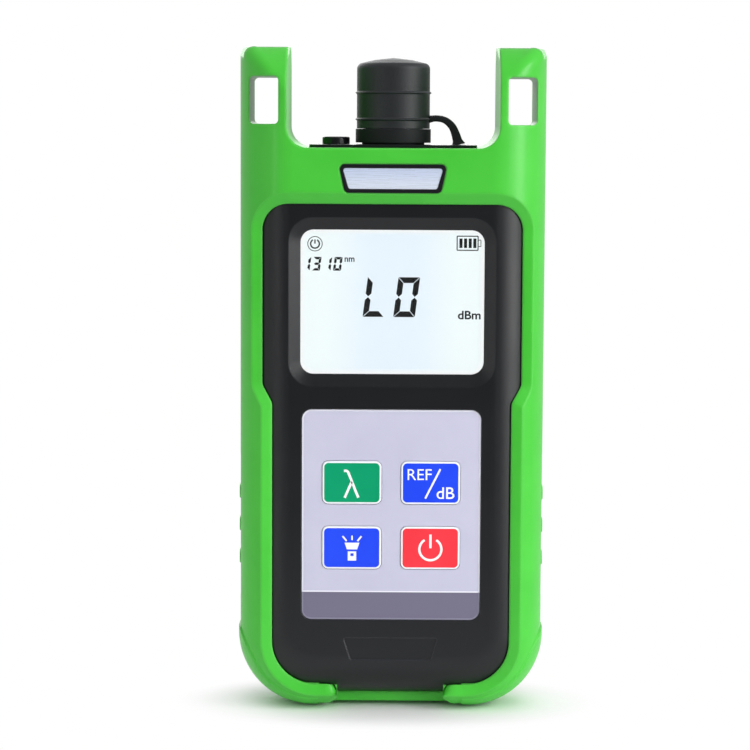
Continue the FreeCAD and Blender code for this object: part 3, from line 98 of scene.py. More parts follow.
# %% Helpers for node graphs
def tone(red, green, blue):
    """A colour given as 0 to 255 steps, as linear light with full opacity."""
    steps = np.array([red, green, blue]) / 255.0
    low, high = steps / 12.92, ((steps + 0.055) / 1.055) ** 2.4
    return (*np.where(steps <= 0.04045, low, high).tolist(), 1.0)


def add(tree, kind, inputs=None, **settings):
    """Add a node; inputs maps a socket's name or number to a value or to a socket."""
    item = tree.nodes.new(kind)
    for key, value in settings.items():
        setattr(item, key, value)
    for key, value in (inputs or {}).items():
        if isinstance(value, bpy.types.NodeSocket):
            tree.links.new(value, item.inputs[key])
        else:
            item.inputs[key].default_value = value
    return item


def math_node(tree, operation, first, second=0.0, third=0.0):
    """Work out one sum on numbers or sockets and return the result's socket."""
    return add(tree, "ShaderNodeMath", {0: first, 1: second, 2: third},
               operation=operation).outputs[0]


def mix_colour(tree, share, first, second):
    """Blend two colours by a share and return the colour's socket."""
    node = add(tree, "ShaderNodeMix", {0: share, 6: first, 7: second}, data_type="RGBA")
    return node.outputs[2]


def smooth_step(tree, value, low, high):
    """A soft threshold: 0 below low, 1 above high."""
    node = add(tree, "ShaderNodeMapRange", {0: value, 1: low, 2: high},
               interpolation_type="SMOOTHSTEP")
    return node.outputs[0]


def node_group(name, takes, gives):
    """Start a shader node group; takes and gives map socket names to socket kinds."""
    tree = bpy.data.node_groups.new(name, "ShaderNodeTree")
    for label, (kind, value) in takes.items():
        socket = tree.interface.new_socket(label, in_out="INPUT", socket_type=kind)
        if value is not None:
            socket.default_value = value
    for label, kind in gives.items():
        tree.interface.new_socket(label, in_out="OUTPUT", socket_type=kind)
    return tree, tree.nodes.new("NodeGroupInput"), tree.nodes.new("NodeGroupOutput")


def use_group(tree, group, inputs=None):
    """Place a node group in a material."""
    return add(tree, "ShaderNodeGroup", inputs, node_tree=group)


def object_place(tree):
    """The socket that gives a point's place in object coordinates."""
    return add(tree, "ShaderNodeTexCoord").outputs["Object"]


def object_height(tree):
    """The socket that gives a point's height, its Z in object coordinates."""
    return add(tree, "ShaderNodeSeparateXYZ", {0: object_place(tree)}).outputs["Z"]


def new_material(name):
    """A material made of nodes, with its tree and its Principled shader."""
    material = bpy.data.materials.new(name)
    material.use_nodes = True
    return material, material.node_tree, material.node_tree.nodes["Principled BSDF"]


FLOAT, VECTOR = "NodeSocketFloat", "NodeSocketVector"
print("half of 255 is", round(tone(127.5, 127.5, 127.5)[0], 3), "in linear light")


# %% [markdown]
# ## Moulded grain
# A steel mould is spark-eroded or blasted, and that leaves a fine even grain on every
# moulded piece.  Under it the surface is never perfectly even either: it has broad,
# very shallow waves, and hands leave patches that are a little smoother than the rest.
# One group makes all three from noise in object coordinates.

# %% Group: moulded grain
WAVES_PER_METRE = 90.0
PATCHES_PER_METRE = 42.0

grain_group, grain_in, grain_out = node_group(
    "moulded_grain",
    {"Grain Size": (FLOAT, 0.0003), "Grain Depth": (FLOAT, 1.0), "Wave Depth": (FLOAT, 1.0)},
    {"Height": FLOAT, "Patches": FLOAT})
place = object_place(grain_group)
grain_scale = math_node(grain_group, "DIVIDE", 1.0, grain_in.outputs["Grain Size"])
grain = add(grain_group, "ShaderNodeTexNoise",
            {"Vector": place, "Scale": grain_scale, "Detail": 2.0, "Roughness": 0.6})
waves = add(grain_group, "ShaderNodeTexNoise",
            {"Vector": place, "Scale": WAVES_PER_METRE, "Detail": 1.0, "Roughness": 0.4})
patches = add(grain_group, "ShaderNodeTexNoise",
              {"Vector": place, "Scale": PATCHES_PER_METRE, "Detail": 4.0,
               "Roughness": 0.62})
fine = math_node(grain_group, "MULTIPLY", grain.outputs[0], grain_in.outputs["Grain Depth"])
height = math_node(grain_group, "MULTIPLY_ADD", waves.outputs[0],
                   grain_in.outputs["Wave Depth"], fine)
grain_group.links.new(height, grain_out.inputs["Height"])
grain_group.links.new(smooth_step(grain_group, patches.outputs[0], 0.3, 0.7),
                      grain_out.inputs["Patches"])
print("moulded grain has", len(grain_group.nodes), "nodes")


# %% [markdown]
# ## Soft edges and lighter edges
# No moulded or stamped edge is knife sharp.  The Bevel node looks a short way round
# each point and turns the normal near an edge, so the edge catches a thin line of light.
# How far that normal leans away from the true one also marks the edges, which the recipe
# paints lighter: partly as rubbed wear, partly as a painted highlight.

# %% Group: soft edge
edge_group, edge_in, edge_out = node_group(
    "soft_edge", {"Radius": (FLOAT, 0.0005)}, {"Normal": VECTOR, "Wear And Highlight": FLOAT})
soft = add(edge_group, "ShaderNodeBevel", {"Radius": edge_in.outputs["Radius"]}, samples=6)
true_normal = add(edge_group, "ShaderNodeNewGeometry").outputs["Normal"]
agree = add(edge_group, "ShaderNodeVectorMath", {0: soft.outputs[0], 1: true_normal},
            operation="DOT_PRODUCT").outputs["Value"]
edge_group.links.new(soft.outputs[0], edge_out.inputs["Normal"])
leaning = math_node(edge_group, "SUBTRACT", 1.0, agree)
# The edge mask: the recipe paints these edges lighter, partly as rubbed wear and partly as a
# painted highlight.
edge_group.links.new(smooth_step(edge_group, leaning, 0.01, 0.16), edge_out.inputs["Wear And Highlight"])
print("soft edge has", len(edge_group.nodes), "nodes")


# %% [markdown]
# ## Printed panels
# Labels and keys are printed inside rounded rectangles.  The distance from a point to
# the edge of such a rectangle gives a border of even width at once: fold the plane into
# one quarter, step in by the corner's radius, and measure how far the point lies outside.

# %% Group: rounded panel
panel_group, panel_in, panel_out = node_group(
    "rounded_panel",
    {"Middle X": (FLOAT, 0.0), "Middle Z": (FLOAT, 0.0), "Half Width": (FLOAT, 0.01),
     "Half Height": (FLOAT, 0.01), "Corner": (FLOAT, 0.001)},
    {"Inset": FLOAT, "X": FLOAT, "Z": FLOAT})
split = add(panel_group, "ShaderNodeSeparateXYZ", {0: object_place(panel_group)})
folded = []
for axis, middle, half in (("X", "Middle X", "Half Width"), ("Z", "Middle Z", "Half Height")):
    offset = math_node(panel_group, "SUBTRACT", split.outputs[axis], panel_in.outputs[middle])
    reach = math_node(panel_group, "SUBTRACT", panel_in.outputs[half],
                      panel_in.outputs["Corner"])
    folded.append(math_node(panel_group, "SUBTRACT",
                            math_node(panel_group, "ABSOLUTE", offset), reach))
    panel_group.links.new(offset, panel_out.inputs[axis])
outside = [math_node(panel_group, "MAXIMUM", value, 0.0) for value in folded]
corner_way = math_node(panel_group, "SQRT", math_node(
    panel_group, "MULTIPLY_ADD", outside[0], outside[0],
    math_node(panel_group, "MULTIPLY", outside[1], outside[1])))
inner = math_node(panel_group, "MINIMUM",
                  math_node(panel_group, "MAXIMUM", folded[0], folded[1]), 0.0)
distance = math_node(panel_group, "SUBTRACT",
                     math_node(panel_group, "ADD", corner_way, inner),
                     panel_in.outputs["Corner"])
panel_group.links.new(math_node(panel_group, "MULTIPLY", distance, -1.0),
                      panel_out.inputs["Inset"])
print("rounded panel has", len(panel_group.nodes), "nodes")


# %% [markdown]
# ## One recipe for every moulded finish
# Most finishes here differ only in colour, gloss and grain.  The recipe joins the two
# groups to the Principled shader: grain feeds a Bump node on top of the softened edge,
# patches vary the gloss, and edges are painted a little lighter, partly as rubbed wear
# and partly as a painted highlight.

# %% Recipe: moulded finish
COAT_ROUGHNESS = 0.22
GRAIN_HEIGHT = 0.0001


def moulded(name, colour, gloss, edge_wear_and_highlight, grain_size=0.0003, grain_depth=1.0, wave_depth=0.4,
            edge=0.0004, bump=0.25, specular=0.5, metallic=0.0, spread=0.06, coat=0.0):
    """A Principled material with grain, soft edges, lighter edges that are partly rubbed wear and
    partly a painted highlight, and uneven gloss.
    """
    material, tree, shader = new_material(name)
    grain = use_group(tree, grain_group, {"Grain Size": grain_size, "Grain Depth": grain_depth,
                                          "Wave Depth": wave_depth})
    edges = use_group(tree, edge_group, {"Radius": edge})
    relief = add(tree, "ShaderNodeBump", {"Strength": bump, "Distance": GRAIN_HEIGHT,
                                          "Height": grain.outputs["Height"],
                                          "Normal": edges.outputs["Normal"]})
    body = colour if isinstance(colour, tuple) else colour(tree, grain)
    # Edges are painted lighter: partly rubbed wear, partly a painted highlight.
    painted = mix_colour(tree, edges.outputs["Wear And Highlight"], body, edge_wear_and_highlight)
    rough = math_node(tree, "MULTIPLY_ADD", grain.outputs["Patches"], spread, gloss)
    tree.links.new(painted, shader.inputs["Base Color"])
    tree.links.new(rough, shader.inputs["Roughness"])
    tree.links.new(relief.outputs[0], shader.inputs["Normal"])
    shader.inputs["Specular IOR Level"].default_value = specular
    shader.inputs["Metallic"].default_value = metallic
    shader.inputs["Coat Weight"].default_value = coat
    shader.inputs["Coat Roughness"].default_value = COAT_ROUGHNESS
    return material


finishes = {}
print("a coat, where a finish has one, is", COAT_ROUGHNESS, "rough")


# %% [markdown]
# ## The boot's green rubber
# The boot is thermoplastic rubber: fully coloured and matt.  Its edges are painted a
# lighter green, partly as chalky rubbed wear and partly as a painted highlight.  Broad
# patches drift between two greens, because such rubber is never quite even.

# %% Finish: boot rubber
def rubber_green(tree, grain):
    """Drift between two close greens by the grain group's patches."""
    return mix_colour(tree, grain.outputs["Patches"], tone(66, 192, 52), tone(74, 200, 60))


# The lighter green on the edges is partly rubbed wear and partly a painted highlight.
finishes["boot_rubber"] = moulded(
    "boot_rubber", rubber_green, 0.42, tone(96, 214, 84), grain_size=0.00022,
    grain_depth=0.8, wave_depth=0.8, edge=0.0011, bump=0.2, specular=0.3, coat=0.2)
print("made", finishes["boot_rubber"].name)


# %% [markdown]
# ## Black plastics and soft black rubber
# The case is glass-filled black plastic from a spark-eroded mould, the trims are plain
# glossy mouldings, and the cap is soft rubber with the dull bloom that rubber gets.

# %% Finishes: black mouldings
finishes["case_plastic"] = moulded("case_plastic", tone(17, 19, 22), 0.36, tone(50, 52, 58),
                                   grain_size=0.00018, bump=0.22, edge=0.0005,
                                   specular=0.4)
finishes["trim_black"] = moulded("trim_black", tone(18, 20, 24), 0.28, tone(40, 42, 46),
                                 grain_size=0.0005, bump=0.08, edge=0.0002)
finishes["port_plastic"] = moulded("port_plastic", tone(26, 27, 30), 0.60, tone(40, 42, 45),
                                   bump=0.2, specular=0.2)
finishes["cap_rubber"] = moulded("cap_rubber", tone(33, 35, 38), 0.50, tone(58, 60, 64),
                                 grain_size=0.0004, wave_depth=0.9, bump=0.3, edge=0.0003,
                                 specular=0.4)
finishes["seal_rubber"] = moulded("seal_rubber", tone(40, 40, 44), 0.6, tone(70, 70, 74))
finishes["chip_plastic"] = moulded("chip_plastic", tone(24, 24, 26), 0.5, tone(50, 50, 52))
finishes["switch_plastic"] = moulded("switch_plastic", tone(205, 205, 200), 0.45,
                                     tone(225, 225, 220))
print("finishes so far:", ", ".join(finishes))


# %% [markdown]
# ## Battery jackets
# The cells show when the battery door opens.  A cell is a steel can in a printed wrap.
# A picture of the wrap would need an unwrapped surface, but its bands run straight
# round the can, so here the colour is told from the height alone.

# %% Finish: battery wraps
WRAP_SPLIT = 0.72
WRAP_END = 0.35 * MM
TIP_LENGTH = 1.3 * MM
WRAP_BLUR = 0.1 * MM


def cell_wrap(tree, grain):
    """Bare steel at both ends of a cell, a dark wrap, and a copper band at the tip end."""
    low, high = (corner.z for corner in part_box("battery_cell_1"))
    upwards = object_height(tree)
    steel, dark, copper = tone(176, 178, 180), tone(30, 32, 36), tone(198, 120, 62)
    colour = steel
    for start, paint in ((low + WRAP_END, dark), (low + (high - low) * WRAP_SPLIT, copper),
                         (high - TIP_LENGTH, steel)):
        above = smooth_step(tree, upwards, start, start + WRAP_BLUR)
        colour = mix_colour(tree, above, colour, paint)
    return colour


print("a cell's copper band starts at", WRAP_SPLIT, "of its length")


# %% [markdown]
# ## Metal, ceramic, circuit board and light guide
# These sit inside or under the cap, and show when the door or the cap is open.  Bare
# metal has Metallic at 1, and its colour is then the colour of its reflections.  The
# ceramic sleeve is ground smooth, so it has nearly no grain and a low roughness.

# %% Finishes: inner parts
finishes["screw_steel"] = moulded("screw_steel", tone(150, 152, 156), 0.32,
                                  tone(205, 206, 210), metallic=1.0, edge=0.0002)
finishes["contact_steel"] = moulded("contact_steel", tone(196, 196, 192), 0.22,
                                    tone(225, 225, 222), metallic=1.0, edge=0.0001)
finishes["port_metal"] = moulded("port_metal", tone(178, 180, 184), 0.24,
                                 tone(215, 216, 220), metallic=1.0, edge=0.0002)
finishes["sleeve_ceramic"] = moulded("sleeve_ceramic", tone(236, 234, 226), 0.18,
                                     tone(246, 245, 240), bump=0.05)
finishes["board_laminate"] = moulded("board_laminate", tone(22, 92, 58), 0.35,
                                     tone(150, 150, 96), grain_size=0.0006)
finishes["cell_jacket"] = moulded("cell_jacket", cell_wrap, 0.3, tone(150, 140, 130),
                                  bump=0.08, edge=0.0002)
finishes["light_guide"] = moulded("light_guide", tone(232, 238, 242), 0.4,
                                  tone(240, 244, 246), bump=0.1)
print(len(finishes), "finishes made")


# %% [markdown]
# ## Dressing the frame
# Each piece of the frame comes with one slot, named for what the piece is made of.
# Most finishes above have the name of such a slot, so one loop dresses those pieces.
# The small function is for pieces whose finish is made later or for them alone.

# %% Put the finishes on the frame's pieces
def wear(material_name, *names):
    """Give the named CAD pieces a finish."""
    for name in names:
        nodes[name].material_slots[0].material = finishes[material_name]


for piece in nodes.values():
    slot_name = piece.material_slots[0].material.name.split(".")[0]
    if slot_name in finishes:
        piece.material_slots[0].material = finishes[slot_name]
print(len(nodes), "pieces of the frame looked through")


# %% [markdown]
# ## The clear window
# The window is thin acrylic, so it has full transmission and a smooth surface.  The
# index is lower than that of real acrylic, which keeps the display behind it bright.

# %% Finish: clear window
WINDOW_IOR = 1.3
WHITE = (1.0, 1.0, 1.0, 1.0)

finishes["clear_window"], tree, shader = new_material("clear_window")
shader.inputs["Base Color"].default_value = WHITE
shader.inputs["Roughness"].default_value = 0.02
shader.inputs["IOR"].default_value = WINDOW_IOR
shader.inputs["Transmission Weight"].default_value = 1.0
wear("clear_window", "lcd_window", "detector_window")
window_low, window_high = (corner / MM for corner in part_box("lcd_window"))
print("the window measures", [round(side, 1) for side in window_high - window_low], "mm")


# %% [markdown]
# ## The lit display
# The display behind the window is a pale reflective cell lit from behind: the glow is
# even, slightly blue in the middle, and whitest in a thin band along the rim.  A lamp
# inside would add noise, so the face gives its own light: partly for the backlight, and
# partly as painted light standing in for the lamplight that the clear window keeps from
# the cell.  The panel group says how near the rim a point is.

# %% Finish: lit display
VIEW_HALF_WIDTH, VIEW_LOW, VIEW_HIGH, VIEW_CORNER = 24.15, 90.8, 128.8, 3.4
DISPLAY_GLOW = 0.86
BLUE_HALF_WIDTH, WHITE_HALF_WIDTH = 4.0, 20.0
BRIGHT_RIM = 1.6

finishes["display_face"], tree, shader = new_material("display_face")
view = use_group(tree, panel_group, {
    "Middle Z": (VIEW_LOW + VIEW_HIGH) / 2 * MM, "Half Width": VIEW_HALF_WIDTH * MM,
    "Half Height": (VIEW_HIGH - VIEW_LOW) / 2 * MM, "Corner": VIEW_CORNER * MM})
sideways = math_node(tree, "ABSOLUTE", view.outputs["X"])
middle_share = smooth_step(tree, sideways, BLUE_HALF_WIDTH * MM, WHITE_HALF_WIDTH * MM)
pale = mix_colour(tree, middle_share, tone(228, 242, 252), tone(240, 251, 251))
rim_share = smooth_step(tree, view.outputs["Inset"], 0.0, BRIGHT_RIM * MM)
lit = mix_colour(tree, rim_share, tone(252, 255, 255), pale)
shader.inputs["Base Color"].default_value = tone(96, 100, 102)
# The glow is partly the backlight and partly painted light standing in for the lamplight that the
# window keeps from the cell.
tree.links.new(lit, shader.inputs["Emission Color"])
shader.inputs["Emission Strength"].default_value = DISPLAY_GLOW
shader.inputs["Roughness"].default_value = 0.5
wear("display_face", "lcd_glass")
print("the display shows", VIEW_HALF_WIDTH * 2, "x", round(VIEW_HIGH - VIEW_LOW, 1), "mm")


# %% [markdown]
# ## The keypad's film
# One printed polyester film carries the whole key panel: a lilac grey field with a
# lighter rim where the film was die cut, and a darker band below a thin white line.
# The band is left bare.  Everything is told from the position, so the print is sharp at
# any distance.

# %% Finish: printed film
film_low, film_high = (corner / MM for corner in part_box("keypad_overlay"))
PANEL_HALF_WIDTH, PANEL_LOW, PANEL_HIGH = film_high.x, film_low.z, film_high.z
PANEL_CORNER = 2.6
BAND_TOP = 32.75
BAND_LINE = 0.35
FILM_RIM = 0.42
PRINT_BLUR = 0.03
FILM_GRAIN_HEIGHT = 0.08 * MM
FILM_ROUGHNESS = 0.34
FILM_SPECULAR = 0.25

finishes["overlay_film"], tree, shader = new_material("overlay_film")
panel = use_group(tree, panel_group, {
    "Middle Z": (PANEL_LOW + PANEL_HIGH) / 2 * MM, "Half Width": PANEL_HALF_WIDTH * MM,
    "Half Height": (PANEL_HIGH - PANEL_LOW) / 2 * MM, "Corner": PANEL_CORNER * MM})
film_grain = use_group(tree, grain_group, {"Grain Size": 0.00025, "Grain Depth": 0.5})
field = mix_colour(tree, film_grain.outputs["Patches"], tone(198, 197, 220), tone(205, 204, 225))
above = math_node(tree, "ADD", panel.outputs["Z"],
                  ((PANEL_LOW + PANEL_HIGH) / 2 - BAND_TOP) * MM)
is_field = smooth_step(tree, above, -PRINT_BLUR * MM, PRINT_BLUR * MM)
past_line = smooth_step(tree, above, (BAND_LINE - PRINT_BLUR) * MM,
                        (BAND_LINE + PRINT_BLUR) * MM)
line = mix_colour(tree, past_line, tone(240, 240, 250), field)
rim_colour = mix_colour(tree, is_field, tone(140, 138, 158), tone(238, 238, 250))
printed = mix_colour(tree, is_field, tone(117, 113, 135), line)
inside = smooth_step(tree, panel.outputs["Inset"], (FILM_RIM - PRINT_BLUR * 2) * MM,
                     (FILM_RIM + PRINT_BLUR * 2) * MM)
tree.links.new(mix_colour(tree, inside, rim_colour, printed), shader.inputs["Base Color"])
relief = add(tree, "ShaderNodeBump", {"Strength": 0.12, "Distance": FILM_GRAIN_HEIGHT,
                                      "Height": film_grain.outputs["Height"]})
tree.links.new(relief.outputs[0], shader.inputs["Normal"])
shader.inputs["Roughness"].default_value = FILM_ROUGHNESS
shader.inputs["Specular IOR Level"].default_value = FILM_SPECULAR
wear("overlay_film", "keypad_overlay")
print("the film measures", round(PANEL_HALF_WIDTH * 2, 1), "x",
      round(PANEL_HIGH - PANEL_LOW, 1), "mm")


# %% [markdown]
# ## The four keys
# Each key is the same printed film over a moulded pad: a solid colour with a white
# border.  The recipe takes the colour and the key's own middle, so one function paints
# all four.

# %% Finish: printed keys
KEY_BORDER = 0.48
KEY_CORNER = 1.6
KEY_BLUR = 0.05
FLANGE = 1.0
KEY_COLOURS = {"key_wavelength": (0, 156, 106), "key_reference": (30, 70, 240),
               "key_backlight": (30, 70, 240), "key_power": (244, 56, 68)}


def key_print(name, colour):
    """A coloured key with a white border, placed on the key's own middle."""
    low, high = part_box(name)
    middle, half = (low + high) / 2, (high - low) / 2
    flange = FLANGE * MM
    material, tree, shader = new_material(name + "_print")
    pad = use_group(tree, panel_group, {
        "Middle X": middle.x, "Middle Z": middle.z, "Half Width": half.x - flange,
        "Half Height": half.z - flange, "Corner": KEY_CORNER * MM})
    inside = smooth_step(tree, pad.outputs["Inset"], (KEY_BORDER - KEY_BLUR) * MM,
                         (KEY_BORDER + KEY_BLUR) * MM)
    grain = use_group(tree, grain_group, {"Grain Size": 0.00025, "Grain Depth": 0.5})
    shade = mix_colour(tree, grain.outputs["Patches"], tone(*colour),
                       tone(*(min(255, step + 8) for step in colour)))
    tree.links.new(mix_colour(tree, inside, tone(246, 249, 255), shade),
                   shader.inputs["Base Color"])
    edges = use_group(tree, edge_group, {"Radius": 0.0002})
    relief = add(tree, "ShaderNodeBump", {"Strength": 0.1, "Distance": FILM_GRAIN_HEIGHT,
                                          "Height": grain.outputs["Height"],
                                          "Normal": edges.outputs["Normal"]})
    tree.links.new(relief.outputs[0], shader.inputs["Normal"])
    shader.inputs["Roughness"].default_value = FILM_ROUGHNESS
    shader.inputs["Specular IOR Level"].default_value = FILM_SPECULAR
    return material


for name, colour in KEY_COLOURS.items():
    finishes[name] = key_print(name, colour)
    wear(name, name)
print(len(KEY_COLOURS), "keys painted")


# %% [markdown]
# ## The bare badge
# The plate on the brow is brushed aluminium foil under clear lacquer.  Long thin noise
# stretched sideways gives the brushing, and a coat gives the lacquer.

# %% Finish: badge foil
BRUSHING_SCALE = (150.0, 1.0, 6000.0)
BRUSHING_ROUGHNESS = (0.22, 0.12)

finishes["badge_silver"], tree, shader = new_material("badge_silver")
stretched = add(tree, "ShaderNodeMapping", {0: object_place(tree)})
stretched.inputs["Scale"].default_value = BRUSHING_SCALE
brushing = add(tree, "ShaderNodeTexNoise", {"Vector": stretched.outputs[0], "Scale": 1.0,
                                            "Detail": 2.0})
badge_low, badge_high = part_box("badge_plate")
fade = smooth_step(tree, object_height(tree), badge_low.z, badge_high.z)
foil_colour = mix_colour(tree, fade, tone(228, 237, 252), tone(208, 220, 246))
tree.links.new(foil_colour, shader.inputs["Base Color"])
least, swing = BRUSHING_ROUGHNESS
tree.links.new(math_node(tree, "MULTIPLY_ADD", brushing.outputs[0], swing, least),
               shader.inputs["Roughness"])
shader.inputs["Metallic"].default_value = 0.15
shader.inputs["Coat Weight"].default_value = 0.3
wear("badge_silver", "badge_plate")
print("the badge is", round((badge_high.z - badge_low.z) / MM, 1), "mm high")


# %% [markdown]
# ## Printing with thin plates
# Ink stands a few hundredths of a millimetre proud.  Each printed mark is therefore a
# very thin plate: a flat outline, repeated at two depths, with a wall between them.
# A mark is a list of outlines, and one function turns any such list into one mesh.

# %% Helpers: thin plates
INK = 0.03


def place_mesh(name, mesh):
    """Put a mesh into the scene as an object at the origin, unturned and unscaled."""
    piece = bpy.data.objects.new(name, mesh)
    bpy.context.scene.collection.objects.link(piece)
    return piece


def turned(outline):
    """Order an outline so that its front faces -Y: anticlockwise as seen from the front."""
    x, z = outline[:, 0], outline[:, 1]
    area = np.sum(x * np.roll(z, -1) - np.roll(x, -1) * z)
    return outline if area > 0 else outline[::-1]


def plate(name, outlines, face_y, thick=INK):
    """A mesh of thin plates: every outline at the front depth and at the back depth."""
    points, faces, start = [], [], 0
    for outline in outlines:
        flat = turned(np.asarray(outline, float))
        count = len(flat)
        front = np.column_stack([flat[:, 0], np.full(count, face_y - thick), flat[:, 1]])
        back = front + (0.0, thick, 0.0)
        points += [front, back]
        ring = np.arange(count)
        after = np.roll(ring, -1)
        faces.append((ring + start).tolist())
        faces.append((ring[::-1] + start + count).tolist())
        walls = np.column_stack([ring, ring + count, after + count, after]) + start
        faces += walls.tolist()
        start += 2 * count
    mesh = bpy.data.meshes.new(name)
    mesh.from_pydata((np.vstack(points) * MM).tolist(), [], faces)
    return place_mesh(name, mesh)


def bar(start, end, width):
    """The outline of a straight stroke: its two ends moved sideways by half the width."""
    start, end = np.asarray(start, float), np.asarray(end, float)
    along = (end - start) / np.linalg.norm(end - start)
    side = np.array([-along[1], along[0]]) * width / 2
    return np.array([start - side, end - side, end + side, start + side])


def arc_band(middle, radius, width, first, last, steps=40):
    """Outlines of an arc: on each ray, the radius plus and minus half the width.

    An open arc is one outline, and a full ring is cut into short boxes.
    """
    angle = np.radians(np.linspace(first, last, steps + 1))
    ray = np.column_stack([np.cos(angle), np.sin(angle)])
    inner = np.asarray(middle) + ray * (radius - width / 2)
    outer = np.asarray(middle) + ray * (radius + width / 2)
    if last - first < 360:
        return [np.vstack([inner, outer[::-1]])]
    return list(np.stack([inner[:-1], outer[:-1], outer[1:], inner[1:]], axis=1))


def ink(name, colour, gloss=0.35, specular=0.5):
    """A plain printed ink whose shade varies a little with the grain."""
    material, tree, shader = new_material(name)
    grain = use_group(tree, grain_group, {"Grain Size": 0.0001})
    tree.links.new(mix_colour(tree, grain.outputs["Height"], colour,
                              tuple(min(1.0, part * 1.06) for part in colour)),
                   shader.inputs["Base Color"])
    shader.inputs["Roughness"].default_value = gloss
    shader.inputs["Specular IOR Level"].default_value = specular
    return material


finishes["white_ink"] = ink("white_ink", tone(250, 251, 255))
finishes["cell_ink"] = ink("cell_ink", tone(6, 7, 9), 0.9, 0.05)
finishes["cell_ink_thin"] = ink("cell_ink_thin", tone(50, 53, 56), 0.9, 0.05)
print("a printed mark stands", INK, "mm proud")


def finish_piece(piece, finish, body):
    """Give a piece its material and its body."""
    piece.data.materials.append(finishes[finish])
    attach(piece, body)
    return piece


# %% [markdown]
# ## Figures of seven segments
# A figure on such a display is up to seven bars in a slanted frame.  Bars that share a
# corner are mitred, and a thin gap keeps each bar apart from the next.  The bars are
# worked out upright, then every point is pushed sideways in proportion to its height.

# %% Helpers: seven-segment figures
LEAN = 0.13
SEGMENTS = {"0": "abcdef", "1": "bc", "3": "abcdg", "L": "def"}


def segment_outline(which, width, height, stroke, gap):
    """One bar of a figure, in a frame whose lower left corner is 0, 0.

    Three shapes are worked out for the top, the upper left and the middle; the others
    are their mirror images.  Bars that share a corner are cut at 45 degrees.
    """
    middle, half, inner = height / 2, stroke / 2, stroke + gap
    across = [(inner, height - stroke), (width - inner, height - stroke), (width - gap, height),
              (gap, height)]
    upright = [(0, height - gap), (0, middle + half + gap), (half, middle + gap),
               (stroke, middle + half + gap), (stroke, height - inner)]
    level = [(half + gap, middle), (inner, middle - half), (width - inner, middle - half),
             (width - half - gap, middle), (width - inner, middle + half),
             (inner, middle + half)]
    shape, sideways, upwards = {
        "a": (across, 1, 1), "b": (upright, -1, 1), "c": (upright, -1, -1),
        "d": (across, 1, -1), "e": (upright, 1, -1), "f": (upright, 1, 1),
        "g": (level, 1, 1)}[which]
    centre = np.array([width / 2, middle])
    points = (np.array(shape) - centre) * (sideways, upwards) + centre
    return points[::sideways * upwards]


def figure(sign, right, base, width, height, stroke, gap):
    """All bars of one figure: its foot at base and, after leaning, its top right at right."""
    bars = []
    for which in SEGMENTS[sign]:
        outline = segment_outline(which, width, height, stroke, gap)
        outline[:, 0] += LEAN * (outline[:, 1] - height) + right - width
        outline[:, 1] += base
        bars.append(outline)
    return bars


print("a figure 10 mm high leans by", round(LEAN * 10, 1), "mm")


# %% [markdown]
# ## What the display shows
# Two large figures give the reading and four small ones the wavelength.  They are thin
# plates of dark ink right on the cell's face, behind the window, as the real segments are.

# %% What the display shows
CELL_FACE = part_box("lcd_glass")[0].y / MM
READING_STROKE, READING_GAP = 1.5, 0.10


def show(name, outlines, finish="cell_ink"):
    """Print a mark, given as a list of outlines, on the display."""
    return finish_piece(plate(name, outlines, CELL_FACE), finish, "root")


show("display_reading",
     figure("L", -0.85, 105.82, 5.6, 10.6, READING_STROKE, READING_GAP)
     + figure("0", 7.30, 105.80, 5.7, 10.5, READING_STROKE, READING_GAP))

WAVELENGTH_FOOT = 117.95
wavelength = []
for sign, right in (("1", -21.35), ("3", -18.65), ("1", -15.85), ("0", -13.10)):
    wavelength += figure(sign, right, WAVELENGTH_FOOT, 2.1, 3.6, 0.64, 0.05)
show("display_wavelength", wavelength)
print("the wavelength has", len(wavelength), "bars")


# %% [markdown]
# ## The battery and standby signs
# The battery sign is four walls, a smaller tip and a row of charge bars, all straight
# strokes.  The standby sign is an open arc with a stroke in its gap, in a thin ring.

# %% The battery and standby signs
BATTERY_LEFT, BATTERY_RIGHT, BATTERY_LOW, BATTERY_HIGH = 16.95, 22.45, 123.5, 127.2
BATTERY_WALL = 0.28
TIP_WALL = BATTERY_WALL * 0.7
TIP_RIGHT, TIP_LOW, TIP_HIGH = 23.2, 124.5, 126.2
CHARGE_LOW, CHARGE_HIGH, CHARGE_WIDTH = 124.1, 126.6, 0.82
corners = [(BATTERY_LEFT, BATTERY_LOW), (BATTERY_RIGHT, BATTERY_LOW), (BATTERY_RIGHT, BATTERY_HIGH),
           (BATTERY_LEFT, BATTERY_HIGH)]
walls = [bar(start, end, BATTERY_WALL) for start, end in zip(corners, corners[1:] + corners[:1])]
tip = [(BATTERY_RIGHT, TIP_LOW), (TIP_RIGHT, TIP_LOW), (TIP_RIGHT, TIP_HIGH),
       (BATTERY_RIGHT, TIP_HIGH)]
walls += [bar(start, end, TIP_WALL) for start, end in zip(tip, tip[1:])]
show("display_battery_case", walls)
show("display_battery_bars", [bar((x, CHARGE_LOW), (x, CHARGE_HIGH), CHARGE_WIDTH)
                              for x in np.linspace(17.95, 21.6, 4)])

STANDBY = (-20.4, 125.0)
show("display_standby_ring", arc_band(STANDBY, 1.9, 0.22, 0, 360), "cell_ink_thin")
standby = arc_band(STANDBY, 1.15, 0.38, 118, 422)
standby.append(bar((STANDBY[0], STANDBY[1] + 0.05), (STANDBY[0], STANDBY[1] + 1.15), 0.36))
show("display_standby_mark", standby)
print("the battery sign has", len(walls), "walls")


# %% [markdown]
# ## Lettering
# Units and short words come from Blender's own font.  The letters are turned into a
# mesh first, then stretched to the size they have in print and set on their surface.

